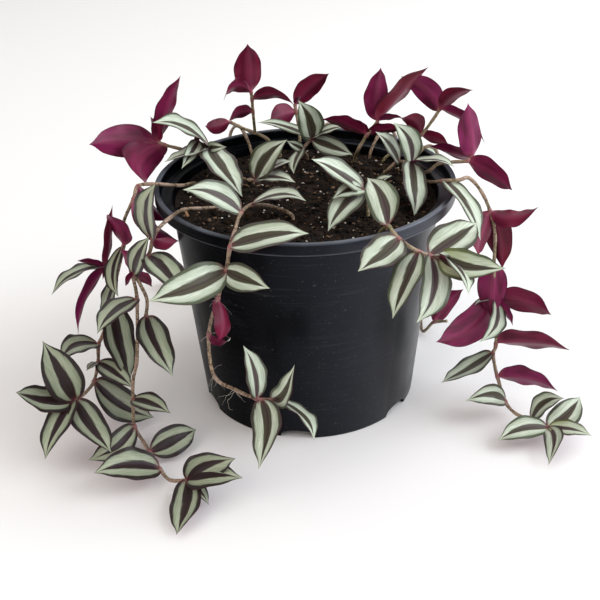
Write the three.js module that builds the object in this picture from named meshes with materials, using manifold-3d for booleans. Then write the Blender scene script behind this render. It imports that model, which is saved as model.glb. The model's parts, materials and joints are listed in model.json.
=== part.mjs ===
// A potted Tradescantia zebrina: twenty leafy shoots rooted in peat, in a round black nursery pot.
// Some shoots stand up over the rim, and others hang over it and lie on the ground beside the pot.
// Millimetres, +Z up, front toward -Y. The origin is the centre of the pot's flat underside.
import * as THREE from "three";
import { mergeVertices } from "three/addons/utils/BufferGeometryUtils.js";
import Module from "manifold-3d";

const wasm = await Module();
wasm.setup();

// Pot
const RIM_RADIUS = 100;
const RIM_HEIGHT = 8;
const RIM_WALL = 3.5;
const POT_HEIGHT = 158;
const FOOT_RADIUS = 75.15;
const NECK_RADIUS = 89.4;
const WALL = 1.7;
const FLOOR = 3;
const POT_SIDES = 48;
const NOTCHES = 6;
const NOTCH_WIDTH = 23;
const NOTCH_HEIGHT = 6.5;
const NOTCH_TURN = THREE.MathUtils.degToRad(-7);
const NOTCH_REACH = 14;
const LIP_RISE = 1.2;

// Soil: its lumps are three waves, given by how they turn per mm across and along
const SOIL_TOP = 146;
const SOIL_DIP = 1.6;
const LONG_WAVE = [0.11, 0.13];
const SHORT_WAVE = [0.29, -0.23];
const SHORT_WAVE_SHARE = 0.5;
const SOIL_RINGS = 4;
const CLEARANCE = 0.3;

// Points closer than this are one point
const SAME_POINT = 1e-3;

// Stems: each stands in a plain hole, which widens at the soil's surface
const STEM_RADIUS = 1.5;
const STEM_SIDES = 5;
const ROOT_LEVELS = [134, 140, 148];
const HOLE_RADIUS = 1.9;
const HOLE_MOUTH_START = 142;
const HOLE_MOUTH_RADIUS = 4;
const HOLE_SIDES = 7;

// Leaves: widths and heights are shares of a leaf's length
const LEAF_THICKNESS = 0.8;
const LEAF_WIDTH = 0.48;
const LEAF_ARCH = 0.06;
const LEAF_FOLD = 12;
const WIDEST_AT = 0.38;
const TAPER_POWER = 2.2;
const LEAF_MIDDLE = 0.4;
const TIP_THINNING = 0.5;
const NECK_HALF_WIDTH = 1;
const LONG_LEAF = 41;
const LONG_LEAF_STATIONS = [0, 0.18, 0.42, 0.72, 1];
const SHORT_LEAF_STATIONS = [0, 0.25, 0.6, 1];

// The viewpoint that the shoots are described from, 634 mm in front of the pot and looking down.
// A place in that view is given in its own units, across and down, with the middle at 300, 300.
const EYE = new THREE.Vector3(-1, -634, 421);
const VIEW_PITCH = THREE.MathUtils.degToRad(29.3);
const VIEW_ROLL = THREE.MathUtils.degToRad(1.55);
const VIEW_YAW = THREE.MathUtils.degToRad(-0.4);
const VIEW_FOCAL = 1024;
const VIEW_MIDDLE = 300;

// The shoots. Each row is one axis of a shoot: its node, its joints from the root up, its leaves.
// A root is "soil" with x and y in mm. A side branch starts "from" an axis and a joint of its node.
// A joint is where it shows in the view, across and down, and its x, y or z in mm, or plain x, y, z.
// A leaf is its joint, where its tip shows, its length in mm, the width that shows in view units,
// and the face that shows, top or under. Its tip lies on the near side, unless it is far. Its back
// bulges up in the view, or as said. ratio, arch and fold differ from the usual leaf where given.
// bend shifts its middle to the left, seen from the base along the face that shows, by that share
// of its length. A young leaf has the same form as the others.
const SHOOTS = [
  ["front_trail",
    [["soil", -9, -36], [272, 206.5, "z", 151], [252, 205, "z", 155], [241, 213, "z", 160],
     [234.5, 232, "z", 161], [230, 247, "y", -101], [226, 271, "y", -101], [218, 298, "y", -100],
     [209, 334, "y", -100], [214, 375.5, "y", -105], [236, 390, "y", -109], [256, 398.5, "y", -112],
     [262, 400, "y", -113], [273, 399.5, "y", -113]],
    [[5, 184, 189, 40, 27, "top", {"bend": -0.1}], [4, 305.5, 199.5, 38, 13, "top", {"bend": 0.13}],
     [7, 308, 232, 47, 30, "top"],
     [8, 149, 300, 50, 39, "top", {"bend": 0.06}], [8, 268.5, 288, 36, 31, "top", {"bend": -0.02}],
     [9, 217.5, 341, 28, 18, "under", {"bend": 0.2}],
     [10, 231, 338, 18, 7, "under", {"bulge": "down", "arch": 0.22}],
     [13, 244.5, 346, 36, 22.5, "top", {"bend": -0.04}], [14, 257, 468, 46, 30, "top", {"bend": 0.17}],
     [15, 293, 365, 34, 20, "top", {"bend": -0.23}], [15, 315, 438, 42, 13, "top", {"bend": 0.13}]]],
  ["left_trail",
    [["soil", -55, -23], [200, 208.5, "z", 151], [184, 209.5, "z", 155], [171, 217, "z", 164],
     [158, 229, "z", 162], [153, 239, "z", 155], [148, 256, "z", 145], [134, 274, "y", -84],
     [137, 300, "y", -83], [137, 357, "y", -80], [133, 381, "y", -79], [133, 400, "y", -80],
     [134.5, 426, "y", -83], [143, 441, "y", -88], [149.5, 452, "z", 9], [160, 469, "z", 6],
     [170, 480, "z", 7], [188, 480, "z", 10]],
    [[7, 154, 184, 42, 23, "top", {"bend": 0.08}], [7, 177, 243, 23, 14, "under", {"bulge": "down"}],
     [9, 148, 237, 32, 20, "top"], [9, 121, 249, 22, 12, "under", {"far": 1}],
     [9, 152, 286, 20, 12, "under", {"far": 1}], [8, 184, 295, 42, 31, "top", {"ratio": 0.52}],
     [9, 125, 286, 14, 6, "under"], [10, 97, 332, 40, 22, "top", {"bend": -0.04}],
     [13, 170, 412, 34, 20, "top"],
     [14, 88.5, 460, 38, 30, "top", {"bend": 0.1}],
     [16, 197, 429, 38, 33, "top", {"far": 1, "ratio": 0.56}],
     [17, 94.5, 472, 46, 34, "top", {"ratio": 0.53, "bend": -0.05}],
     [19, 234.5, 460, 44, 32, "top", {"bulge": "down", "arch": -0.02, "bend": 0.1}],
     [19, 241.5, 477, 42, 29, "top", {"arch": 0.1}],
     [19, 175.5, 533, 45, 30, "top", {"arch": -0.04, "bend": 0.05}], [19, 209, 504, 22, 12, "top"]]],
  ["left_trail",
    [["from", 0, 9], [140.5, 285, "y", -84], [147, 300, "y", -82], [146, 316.5, "y", -80]],
    [[3, 174, 375.5, 44, 32, "top", {"ratio": 0.52, "bend": -0.1}]]],
  ["left_outer",
    [["soil", -75, 20], [182, 185.5, "z", 153], [168.5, 185, "z", 158], [154, 184, "z", 161],
     [138, 186, "z", 159], [133.5, 199, "z", 152], [123.5, 223, "y", -16], [123.5, 246, "y", -20],
     [116, 280, "y", -26], [111, 303, "y", -31], [103, 334, "y", -40], [98.5, 345, "y", -44],
     [98, 363, "y", -50],
     [94, 381, "y", -57], [86, 392, "z", 39], [75, 400, "z", 36]],
    [[9, 117, 296, 40, 15, "top", {"ratio": 0.4, "bend": -0.1}],
     [9, 108, 213, 36, 17, "under", {"bulge": "right"}],
     [15, 155, 417, 50, 34, "top", {"far": 1, "ratio": 0.5, "arch": -0.02, "bend": -0.1}],
     [14, 133, 387, 34, 22, "top"], [14, 86.5, 370, 14, 6, "top"],
     [13, 60, 360, 38, 22, "top", {"bend": -0.12}],
     [11, 133, 387, 55, 32, "top", {"bend": -0.08}],
     [10, 102, 320, 34, 14, "top", {"far": 1, "bend": 0.08}],
     [17, 43, 342, 48, 42, "top", {"ratio": 0.54}],
     [17, 17, 391, 44, 27, "top", {"arch": -0.15}], [17, 44, 458, 46, 25, "top"],
     [17, 112, 451, 49, 31, "top", {"arch": -0.04, "bend": -0.03}], [17, 60, 402, 10, 6, "top"],
     [6, 166, 222, 36, 14, "under", {"far": 1, "bulge": "down"}],
     [7, 178.5, 242.5, 43, 17, "under", {"far": 1, "bulge": "down", "bend": -0.12}]]],
  ["left_outer",
    [["from", 0, 9], [114, 262, "y", -22], [106, 268, "y", -24]],
    [[2, 110.5, 205, 46, 9, "under", {"bulge": "left", "ratio": 0.24, "arch": 0, "bend": -0.04}],
     [2, 51, 293, 42, 11, "top", {"arch": 0.12}], [2, 77, 260, 22, 7, "under", {"ratio": 0.3}],
     [2, 76, 334, 52, 10, "under", {"ratio": 0.27, "bend": -0.07}],
     [1, 99, 284, 14, 5, "under"]]],
  ["purple_left",
    [["soil", -58, 50], [200, 154, "z", 157], [181, 149, "z", 164], [165, 145, "z", 168],
     [158, 142, "z", 170]],
    [[6, 88.5, 144.5, 50, 36, "under", {"bend": -0.03}],
     [6, 179, 75, 50, 18, "under", {"bulge": "left", "ratio": 0.36, "arch": 0.02}],
     [6, 151, 116, 20, 9, "under"],
     [5, 146, 186, 45, 37, "under", {"bulge": "left", "ratio": 0.6, "arch": 0.12, "bend": -0.22}],
     [5, 158, 160, 14, 10, "under", {"far": 1}]]],
  ["top_left",
    [["soil", -50, 62], [219, 153, "z", 158], [208.5, 147.5, "z", 165], [198, 142, "z", 170]],
    [[4, 154, 121, 50, 15, "top", {"arch": 0.08, "bend": -0.06}],
     [5, 182, 168, 28, 20, "top", {"fold": 40}],
     [4, 164, 160.5, 36, 10, "top", {"bend": 0.16}], [4, 243, 195, 54, 28, "top", {"bend": -0.08}],
     [4, 226, 147, 18, 14, "top", {"arch": 0.15}],
     [5, 196, 136, 8, 6, "under"]]],
  ["centre_left",
    [["soil", -36, 22], [249, 180, "z", 154], [256, 180, "z", 158]],
    [[4, 286, 140, 38, 28, "top", {"ratio": 0.54, "bend": 0.06}], [4, 295, 181, 33, 12, "top"],
     [4, 291, 160, 30, 10, "top"]]],
  ["back_left",
    [["soil", -18, 74], [267, 139, "z", 156], [255, 133, "z", 161], [240, 127, "z", 166],
     [230, 122, "z", 169]],
    [[6, 204.5, 126.5, 24, 20, "under", {"bend": 0.06}]]],
  ["back_left",
    [["from", 0, 4], [253, 112, "y", 76], [252, 100, "y", 75], [251, 92, "y", 74]],
    [[3, 247, 43.5, 36, 29, "under", {"bulge": "left", "ratio": 0.6, "arch": 0.03}],
     [3, 223, 99.5, 27, 13, "under", {"arch": 0.15, "bend": -0.2}],
     [2, 296, 105, 37, 11, "under", {"ratio": 0.34, "arch": 0.1, "bend": 0.12}],
     [1, 228, 120.5, 24, 12, "under", {"bend": -0.08}]]],
  ["back_centre",
    [["soil", -3, 80], [299, 128, "y", 86], [296, 112, "y", 90], [295, 104, "y", 92]],
    [[5, 329, 73, 34, 21, "under", {"bend": 0.03}], [4, 269, 121, 30, 24, "under", {"ratio": 0.6}],
     [5, 300, 96, 10, 5, "under"]]],
  ["centre_back",
    [["soil", 2, 66], [303, 149, "z", 155], [312, 139, "z", 162]],
    [[4, 299, 101, 33, 28, "top", {"ratio": 0.62, "bend": -0.06}],
     [4, 258, 121, 42, 10, "top", {"ratio": 0.3}], [4, 348, 126, 30, 8, "top"],
     [4, 356, 156, 31, 22, "top"], [3, 287, 141, 16, 12, "top"], [3, 293, 173, 29, 12, "top"]]],
  ["centre_right",
    [["soil", 40, -34], [367, 196, "z", 155], [363, 190, "z", 161]],
    [[4, 313, 158, 44, 21, "top", {"arch": 0.02}],
     [4, 333, 198, 26, 19, "top", {"ratio": 0.55, "arch": 0.15}],
     [4, 328, 230, 40, 28, "top", {"bend": -0.05}],
     [3, 391, 175, 24, 8, "top"]]],
  ["front_right",
    [["soil", 45, -66], [388, 226, "z", 159], [393, 232, "z", 163], [399, 239, "z", 161],
     [410, 247, "z", 158], [419, 252, "z", 155], [430, 256, "z", 152], [440, 257, "z", 151]],
    [[3, 367, 177, 38, 34, "top", {"far": 1, "ratio": 0.54, "bend": -0.1}],
     [5, 358, 270, 35, 35, "top", {"ratio": 0.7, "arch": 0.02, "bend": 0.08}],
     [8, 477.5, 221.5, 38, 38, "top", {"far": 1, "ratio": 0.66, "bend": -0.05}],
     [9, 505, 267, 43, 32, "top", {"arch": 0.04, "bend": -0.11, "young": 1}],
     [8, 418, 322, 45, 33, "top", {"bulge": "right", "bend": 0.1}],
     [7, 391.5, 317.5, 44, 29, "top", {"bend": 0.04}],
     [9, 470, 292, 40, 13, "top", {"arch": 0.09}]]],
  ["right_trail",
    [["soil", 80, 16], [430, 182, "z", 152], [442, 181, "z", 161], [459, 180, "z", 164],
     [469, 178, "z", 164], [481, 191, "z", 156], [490, 211, "y", -26], [495, 235, "y", -28],
     [494, 265, "y", -28], [495, 299, "y", -28], [496, 343, "y", -30], [493, 353, "y", -31],
     [495, 367, "y", -34], [497.5, 377, "y", -40], [505, 401, "z", 11], [515, 413, "z", 9],
     [532, 421, "z", 8], [548, 428, "z", 10]],
    [[4, 482, 238.5, 50, 18, "top", {"arch": 0.14, "bend": -0.11}],
     [8, 539, 208, 34, 18, "under", {"bulge": "down", "bend": -0.15}], [8, 503, 268, 42, 28, "under", {"far": 1}],
     [8, 477, 256, 34, 20, "under"],
     [10, 491, 317, 36, 31, "under", {"far": 1, "ratio": 0.58}],
     [11, 435, 341.5, 52, 34, "under", {"arch": 0, "bend": 0.14}],
     [11, 480.5, 342, 33, 18, "top", {"bulge": "right", "arch": 0.12, "bend": 0.12}],
     [11, 552, 314, 42, 24, "under", {"arch": 0.12}], [11, 513.5, 325, 22, 8, "under"],
     [11, 474, 304.5, 16, 4, "top"],
     [12, 570, 348, 52, 18, "under", {"arch": 0.03, "bend": 0.03}],
     [13, 441, 381, 43, 18, "top", {"arch": -0.06}], [15, 558, 389.5, 43, 18, "under", {"bend": 0.04}],
     [16, 466.5, 401, 32, 24, "top", {"arch": 0.15, "bend": -0.14}],
     [18, 563, 398, 32, 20, "top", {"ratio": 0.52, "bend": 0.13}],
     [19, 580, 396, 32, 28, "top", {"far": 1, "ratio": 0.6, "bend": -0.1}],
     [19, 498.5, 440, 36, 24, "top", {"bend": -0.08}],
     [19, 591, 434.5, 30, 16, "top", {"young": 1}],
     [19, 547.5, 464, 34, 19, "top", {"ratio": 0.42, "bend": 0.18}]]],
  ["right_inner",
    [["soil", 54, 26], [389, 169, "z", 156], [398, 162, "z", 161], [411, 163, "z", 163]],
    [[4, 377, 131.5, 34, 15, "top"], [5, 394, 123, 34, 24, "top", {"ratio": 0.52, "bend": -0.12}],
     [5, 416, 216, 50, 25, "top", {"ratio": 0.42, "bend": -0.05}],
     [5, 454, 165, 34, 7, "top", {"bend": 0.05}]]],
  ["tall_back_right",
    [["soil", 36, 56], [358, 150, "y", 42], [367, 135, "y", 42], [378, 121, "y", 42]],
    [[5, 380, 67, 40, 24, "under", {"bulge": "left", "arch": 0.06}],
     [5, 427, 65.5, 50, 16, "under", {"arch": 0.05, "bend": -0.07}], [5, 403, 117, 18, 6, "under"],
     [4, 322, 118, 34, 14, "under"], [4, 361, 121, 12, 5, "under"], [4, 402, 128, 26, 12, "under"]]],
  ["top_right",
    [["soil", 58, 58], [408, 143, "y", 59], [421, 135, "y", 58], [432, 121, "y", 57],
     [440, 109, "y", 56]],
    [[6, 402, 76.5, 38, 25, "under", {"far": 1, "bend": -0.08}],
     [6, 473, 89, 30, 15, "under", {"bend": 0.09}],
     [6, 486, 141.5, 44, 10, "under", {"ratio": 0.3, "bend": 0.08}], [4, 449, 144, 22, 12, "under"],
     [4, 400, 118, 25, 18, "under", {"ratio": 0.54, "bend": -0.18}]]],
  ["right_edge",
    [["soil", 74, 30], [427, 172, "z", 156], [438, 164, "z", 162], [453, 162, "z", 164],
     [467, 161, "z", 166], [473, 157, "z", 168]],
    [[7, 467, 103, 37, 24, "under", {"bulge": "left", "ratio": 0.52, "arch": 0.02, "bend": -0.03}],
     [6, 513.5, 189.5, 40, 22, "under", {"bend": -0.02}],
     [7, 429, 144, 36, 12, "under", {"far": 1, "bend": 0.19}]]],
  ["back_trail_left",
    [["soil", -38, 71], [-42, 82, 157], [-48, 89, 164], [-54, 98, 157], [-57, 105, 142],
     [-56, 107, 118], [-55, 109, 94], [-58, 112, 70], [-61, 117, 46], [-66, 126, 24],
     [-76, 137, 9], [-90, 144, 7]],
    []],
  ["back_trail_middle",
    [["soil", 14, 80], [15, 87, 156], [17, 95, 161], [20, 104, 157], [22, 110, 142],
     [21, 113, 116], [23, 115, 90], [26, 118, 66], [29, 124, 42], [34, 134, 20], [43, 145, 8],
     [56, 150, 7]],
    []],
  ["back_trail_right",
    [["soil", 48, 68], [53, 74, 157], [58, 80, 162], [66, 88, 157], [71, 95, 143], [72, 98, 120],
     [70, 100, 96], [73, 102, 72], [78, 106, 52]],
    []],
  ["low_right",
    [["soil", 70, 40], [78, 42, 155], [86, 45, 161], [93, 50, 157], [97, 56, 142], [96, 60, 118],
     [94, 63, 94], [421, 325, "y", 58], [434, 322, "y", 52], [447, 321, "y", 47]],
    [[10, 464, 288, 34, 20, "under", {"bend": 0.06}]]],
];

// Shoots behind the pot carry leaves by rule, one at each joint from the first to the last given.
const BACK_LEAF_JOINTS = {
  back_trail_left: [6, 13],
  back_trail_middle: [6, 13],
  back_trail_right: [6, 10],
  low_right: [7, 7],
};
const BACK_LEAF_LENGTH = 40;
const BACK_LEAF_SPREAD = THREE.MathUtils.degToRad(55);
const BACK_LEAF_DROOP = THREE.MathUtils.degToRad(-20);
const FLOOR_LEAF_LIFT = THREE.MathUtils.degToRad(5);
const FLOOR_LEVEL = 30;

// Shoots whose leaves mostly show their purple undersides
const PURPLE_SHOOTS = ["purple_left", "back_left", "back_centre", "tall_back_right", "top_right",
  "right_edge", "low_right"];

const MATERIALS = {
  pot: { color: "#1d1f23", roughness: 0.5, metalness: 0 },
  soil: { color: "#2d2119", roughness: 0.95, metalness: 0 },
  green: { color: "#8fa488", roughness: 0.5, metalness: 0 },
  purple: { color: "#6e1f48", roughness: 0.5, metalness: 0 },
};

// The viewpoint's axes
const ahead = new THREE.Vector3(
  Math.sin(VIEW_YAW) * Math.cos(VIEW_PITCH),
  Math.cos(VIEW_YAW) * Math.cos(VIEW_PITCH),
  -Math.sin(VIEW_PITCH),
);
const level = new THREE.Vector3(Math.cos(VIEW_YAW), -Math.sin(VIEW_YAW), 0);
const square = new THREE.Vector3().crossVectors(level, ahead);
const right = level.clone().applyAxisAngle(ahead, VIEW_ROLL);
const up = square.clone().applyAxisAngle(ahead, VIEW_ROLL);
const BULGE = {
  up,
  right,
  down: up.clone().negate(),
  left: right.clone().negate(),
};

// The direction from the eye to a place in the view
function lineOfSight(across, down) {
  return ahead.clone()
    .addScaledVector(right, (across - VIEW_MIDDLE) / VIEW_FOCAL)
    .addScaledVector(up, (VIEW_MIDDLE - down) / VIEW_FOCAL)
    .normalize();
}

// A joint's place in mm
function jointPlace(joint) {
  if (joint.length === 3) return new THREE.Vector3(...joint);
  const [across, down, coordinate, value] = joint;
  const ray = lineOfSight(across, down);
  return EYE.clone().addScaledVector(ray, (value - EYE[coordinate]) / ray[coordinate]);
}

// A leaf's direction: its tip lies on the line of sight, a leaf's length from its base
function leafAxis(base, across, down, length, far) {
  const ray = lineOfSight(across, down);
  const toEye = EYE.clone().sub(base);
  const nearest = -toEye.dot(ray);
  const spare = Math.max(0, nearest * nearest - toEye.lengthSq() + length * length);
  const reach = nearest + (far ? 1 : -1) * Math.sqrt(spare);
  return toEye.addScaledVector(ray, reach).normalize();
}

// The way a leaf's upper face points: the more it is turned from the eye, the narrower it looks
function leafUp(base, axis, length, ratio, seenWidth, face, bulge) {
  const middle = base.clone().addScaledVector(axis, LEAF_MIDDLE * length);
  const toEye = EYE.clone().sub(middle).normalize();
  const across = new THREE.Vector3().crossVectors(axis, toEye).normalize();
  const toward = new THREE.Vector3().crossVectors(across, axis);
  const fullWidth = length * ratio * VIEW_FOCAL / middle.sub(EYE).dot(ahead);
  const facing = Math.min(1, seenWidth / fullWidth);
  if (across.dot(BULGE[bulge]) < 0) across.negate();
  return toward.multiplyScalar(face === "top" ? facing : -facing)
    .addScaledVector(across, Math.sqrt(1 - facing * facing));
}

// A leaf that shows in the view
function seenLeaf(joints, row) {
  const [joint, across, down, length, seenWidth, face, special = {}] = row;
  const { far = 0, bulge = "up", ratio = LEAF_WIDTH } = special;
  const { arch = LEAF_ARCH, fold = LEAF_FOLD, bend = 0 } = special;
  const base = joints[joint];
  const axis = leafAxis(base, across, down, length, far);
  const upper = leafUp(base, axis, length, ratio, seenWidth, face, bulge);
  return { base, axis, upper, length, ratio, arch, fold, bend: face === "top" ? bend : -bend };
}

// A leaf behind the pot: left or right of straight out, drooping, or level near the ground
function backLeaf(base, turn) {
  const bearing = Math.atan2(base.y, base.x) + turn * BACK_LEAF_SPREAD;
  const climb = base.z < FLOOR_LEVEL ? FLOOR_LEAF_LIFT : BACK_LEAF_DROOP;
  const axis = new THREE.Vector3(
    Math.cos(bearing) * Math.cos(climb),
    Math.sin(bearing) * Math.cos(climb),
    Math.sin(climb),
  );
  const upper = new THREE.Vector3(0, 0, 1).addScaledVector(axis, -axis.z).normalize();
  const usual = { ratio: LEAF_WIDTH, arch: LEAF_ARCH, fold: LEAF_FOLD, bend: 0 };
  return { base, axis, upper, length: BACK_LEAF_LENGTH, ...usual };
}

// Half of a leaf's width at a share of its length, as a share of its widest
function outline(share) {
  if (share < WIDEST_AT) return Math.sqrt(1 - ((WIDEST_AT - share) / WIDEST_AT) ** 2);
  return 1 - ((share - WIDEST_AT) / (1 - WIDEST_AT)) ** TAPER_POWER;
}

// A closed mesh from its points and triangles
function closedGeometry(points, triangles) {
  const geometry = new THREE.BufferGeometry();
  const positions = points.flatMap((point) => [point.x, point.y, point.z]);
  geometry.setAttribute("position", new THREE.Float32BufferAttribute(positions, 3));
  geometry.setIndex(triangles);
  return geometry;
}

// A leaf: a thin arched blade, folded along its midrib, three points across and pointed at the tip.
// Both faces are split into triangles alike.
function leafGeometry({ base, axis, upper, length, ratio, arch, fold, bend }) {
  const sideways = new THREE.Vector3().crossVectors(upper, axis);
  const rise = Math.sin(THREE.MathUtils.degToRad(fold));
  const spread = Math.cos(THREE.MathUtils.degToRad(fold));
  const stations = length < LONG_LEAF ? SHORT_LEAF_STATIONS : LONG_LEAF_STATIONS;
  const rings = stations.length - 1;
  const points = [];
  for (const share of stations) {
    const bow = length * 4 * share * (1 - share);
    const middle = base.clone()
      .addScaledVector(axis, length * share)
      .addScaledVector(upper, arch * bow)
      .addScaledVector(sideways, bend * bow);
    const half = Math.max(outline(share) * length * ratio / 2, NECK_HALF_WIDTH);
    const sides = share === 1 ? [0] : [-1, 0, 1];
    const offset = LEAF_THICKNESS / 2 * (share === 1 ? TIP_THINNING : 1);
    for (const skin of [offset, -offset]) {
      for (const side of sides) {
        points.push(middle.clone()
          .addScaledVector(upper, Math.abs(side) * half * rise + skin)
          .addScaledVector(sideways, side * half * spread));
      }
    }
  }
  const triangles = [];
  for (let ring = 0; ring < rings - 1; ring += 1) {
    const here = 6 * ring;
    const next = here + 6;
    for (const across of [0, 1]) {
      const low = here + 3 + across;
      const lowNext = next + 3 + across;
      const high = here + across;
      const highNext = next + across;
      triangles.push(high, highNext, highNext + 1, high, highNext + 1, high + 1);
      triangles.push(low, lowNext + 1, lowNext, low, low + 1, lowNext + 1);
    }
    triangles.push(here, here + 3, next + 3, here, next + 3, next);
    triangles.push(here + 2, next + 2, next + 5, here + 2, next + 5, here + 5);
  }
  const last = 6 * (rings - 1);
  const tip = last + 6;
  triangles.push(last, tip, last + 1, last + 1, tip, last + 2);
  triangles.push(last + 3, last + 4, tip + 1, last + 4, last + 5, tip + 1);
  triangles.push(last, last + 3, tip + 1, last, tip + 1, tip);
  triangles.push(last + 2, tip, tip + 1, last + 2, tip + 1, last + 5);
  triangles.push(0, 1, 4, 0, 4, 3, 1, 2, 5, 1, 5, 4);
  return closedGeometry(points, triangles);
}

// A smooth curve through a stem's joints that counts its length in joints, so that a rod along it
// has a section at every joint
class StemCurve extends THREE.CatmullRomCurve3 {
  constructor(joints) {
    super(joints, false, "catmullrom", 0.5);
  }

  getPointAt(share, target) {
    return this.getPoint(share, target);
  }

  getTangentAt(share, target) {
    return this.getTangent(share, target);
  }
}

// A stem: a slim rod through its joints
function stemGeometry(joints) {
  const section = new THREE.Shape();
  for (let corner = 0; corner < STEM_SIDES; corner += 1) {
    const angle = corner * 2 * Math.PI / STEM_SIDES;
    const x = STEM_RADIUS * Math.cos(angle);
    const y = STEM_RADIUS * Math.sin(angle);
    if (corner === 0) section.moveTo(x, y);
    else section.lineTo(x, y);
  }
  section.closePath();
  const path = new StemCurve(joints);
  return new THREE.ExtrudeGeometry(section, { steps: joints.length - 1, extrudePath: path });
}

// Shapes as solids, for joining and cutting
function solidOf(geometry) {
  const plain = geometry.clone();
  plain.deleteAttribute("normal");
  plain.deleteAttribute("uv");
  const merged = mergeVertices(plain, SAME_POINT);
  return new wasm.Manifold(new wasm.Mesh({
    numProp: 3,
    vertProperties: new Float32Array(merged.attributes.position.array),
    triVerts: new Uint32Array(merged.index.array),
  }));
}

// A solid's surface as a plain geometry, with the triangles that are picked from it
function meshOf(solid, pick) {
  const { vertProperties, triVerts } = solid.getMesh();
  const geometry = new THREE.BufferGeometry();
  geometry.setAttribute("position", new THREE.Float32BufferAttribute(vertProperties, 3));
  geometry.setIndex(pick(triVerts, vertProperties.length / 3));
  return geometry;
}

// A joined or cut solid as a finished shape: points that fall together become one
function geometryOf(solid) {
  const joined = solidOf(meshOf(solid, (triangles) => Array.from(triangles)));
  const geometry = meshOf(joined, outerSkin);
  geometry.computeVertexNormals();
  return geometry;
}

// The triangles of the largest skin: a pocket that leaves seal between them is filled this way
function outerSkin(triangles, pointCount) {
  const leader = Array.from({ length: pointCount }, (_, point) => point);
  const find = (point) => {
    let top = point;
    while (leader[top] !== top) {
      leader[top] = leader[leader[top]];
      top = leader[top];
    }
    return top;
  };
  for (let corner = 0; corner < triangles.length; corner += 3) {
    leader[find(triangles[corner + 1])] = find(triangles[corner]);
    leader[find(triangles[corner + 2])] = find(triangles[corner]);
  }
  const skins = new Map();
  for (let corner = 0; corner < triangles.length; corner += 3) {
    const skin = find(triangles[corner]);
    if (!skins.has(skin)) skins.set(skin, []);
    skins.get(skin).push(triangles[corner], triangles[corner + 1], triangles[corner + 2]);
  }
  return [...skins.values()].reduce((one, other) => (other.length > one.length ? other : one));
}

// A round solid from its outline, radius and height
function turned(profile, sides) {
  const points = profile.map(([radius, height]) => new THREE.Vector2(radius, height));
  return new THREE.LatheGeometry(points, sides).rotateX(Math.PI / 2);
}

// The joints of every axis, in mm
function resolveJoints() {
  const axes = [];
  for (const [node, joints, leaves] of SHOOTS) {
    const places = [];
    for (const joint of joints) {
      const [kind, first, second] = joint;
      if (kind === "soil") {
        for (const height of ROOT_LEVELS) places.push(new THREE.Vector3(first, second, height));
      } else if (kind === "from") {
        places.push(axes.filter((axis) => axis.node === node)[first].joints[second].clone());
      } else {
        places.push(jointPlace(joint));
      }
    }
    axes.push({ node, joints: places, leaves });
  }
  return axes;
}

// All leaves of one axis
function leavesOf({ node, joints, leaves }) {
  const all = leaves.map((row) => seenLeaf(joints, row));
  const [first, last] = BACK_LEAF_JOINTS[node] ?? [0, -1];
  for (let joint = first; joint <= last; joint += 1) {
    all.push(backLeaf(joints[joint], joint % 2 ? 1 : -1));
  }
  return all;
}

// One shoot: its stems and leaves as a single body
function shootGeometry(axes) {
  let shoot;
  for (const axis of axes) {
    const pieces = [stemGeometry(axis.joints), ...leavesOf(axis).map(leafGeometry)];
    for (const piece of pieces) {
      const solid = solidOf(piece);
      shoot = shoot ? shoot.add(solid) : solid;
    }
  }
  return geometryOf(shoot);
}

// The inner radius of the pot's wall at a height
function innerRadius(height) {
  const share = (height - FLOOR) / (SOIL_TOP - FLOOR);
  return FOOT_RADIUS - WALL + share * (NECK_RADIUS - FOOT_RADIUS);
}

// The pot: a tapered cup with a stepped-out rim and drain notches round its foot
function potGeometry() {
  const rimFoot = POT_HEIGHT - RIM_HEIGHT;
  const profile = [
    [0, 0],
    [FOOT_RADIUS, 0],
    [NECK_RADIUS, SOIL_TOP],
    [NECK_RADIUS + 1, rimFoot - 1],
    [RIM_RADIUS, rimFoot],
    [RIM_RADIUS, POT_HEIGHT],
    [RIM_RADIUS - RIM_WALL, POT_HEIGHT],
    [RIM_RADIUS - RIM_WALL, rimFoot + LIP_RISE],
    [innerRadius(rimFoot), rimFoot + LIP_RISE / 2],
    [innerRadius(FLOOR), FLOOR],
    [0, FLOOR],
  ];
  return geometryOf(notched(solidOf(turned(profile, POT_SIDES))));
}

// A solid with the drain notches cut out of it
function notched(solid) {
  const arch = new THREE.Shape();
  arch.moveTo(-NOTCH_WIDTH / 2, -NOTCH_HEIGHT);
  arch.lineTo(NOTCH_WIDTH / 2, -NOTCH_HEIGHT);
  arch.lineTo(NOTCH_WIDTH / 2, 0);
  arch.quadraticCurveTo(NOTCH_WIDTH / 2, NOTCH_HEIGHT, NOTCH_WIDTH / 8, NOTCH_HEIGHT);
  arch.lineTo(-NOTCH_WIDTH / 8, NOTCH_HEIGHT);
  arch.quadraticCurveTo(-NOTCH_WIDTH / 2, NOTCH_HEIGHT, -NOTCH_WIDTH / 2, 0);
  arch.closePath();
  const depth = 2 * NOTCH_REACH;
  const options = { depth, bevelEnabled: false, curveSegments: 3 };
  let rest = solid;
  for (let notch = 0; notch < NOTCHES; notch += 1) {
    const cut = new THREE.ExtrudeGeometry(arch, options)
      .rotateX(Math.PI / 2)
      .translate(0, -FOOT_RADIUS + NOTCH_REACH, 0)
      .rotateZ(NOTCH_TURN + notch * 2 * Math.PI / NOTCHES);
    rest = rest.subtract(solidOf(cut));
  }
  return rest;
}

// How far the soil's surface dips below its top at a place
function soilDip(x, y) {
  const long = Math.sin(LONG_WAVE[0] * x) * Math.cos(LONG_WAVE[1] * y);
  const short = SHORT_WAVE_SHARE * Math.sin(SHORT_WAVE[0] * x + SHORT_WAVE[1] * y);
  return SOIL_DIP * (0.5 + (long + short) / 2 / (1 + SHORT_WAVE_SHARE));
}

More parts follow.
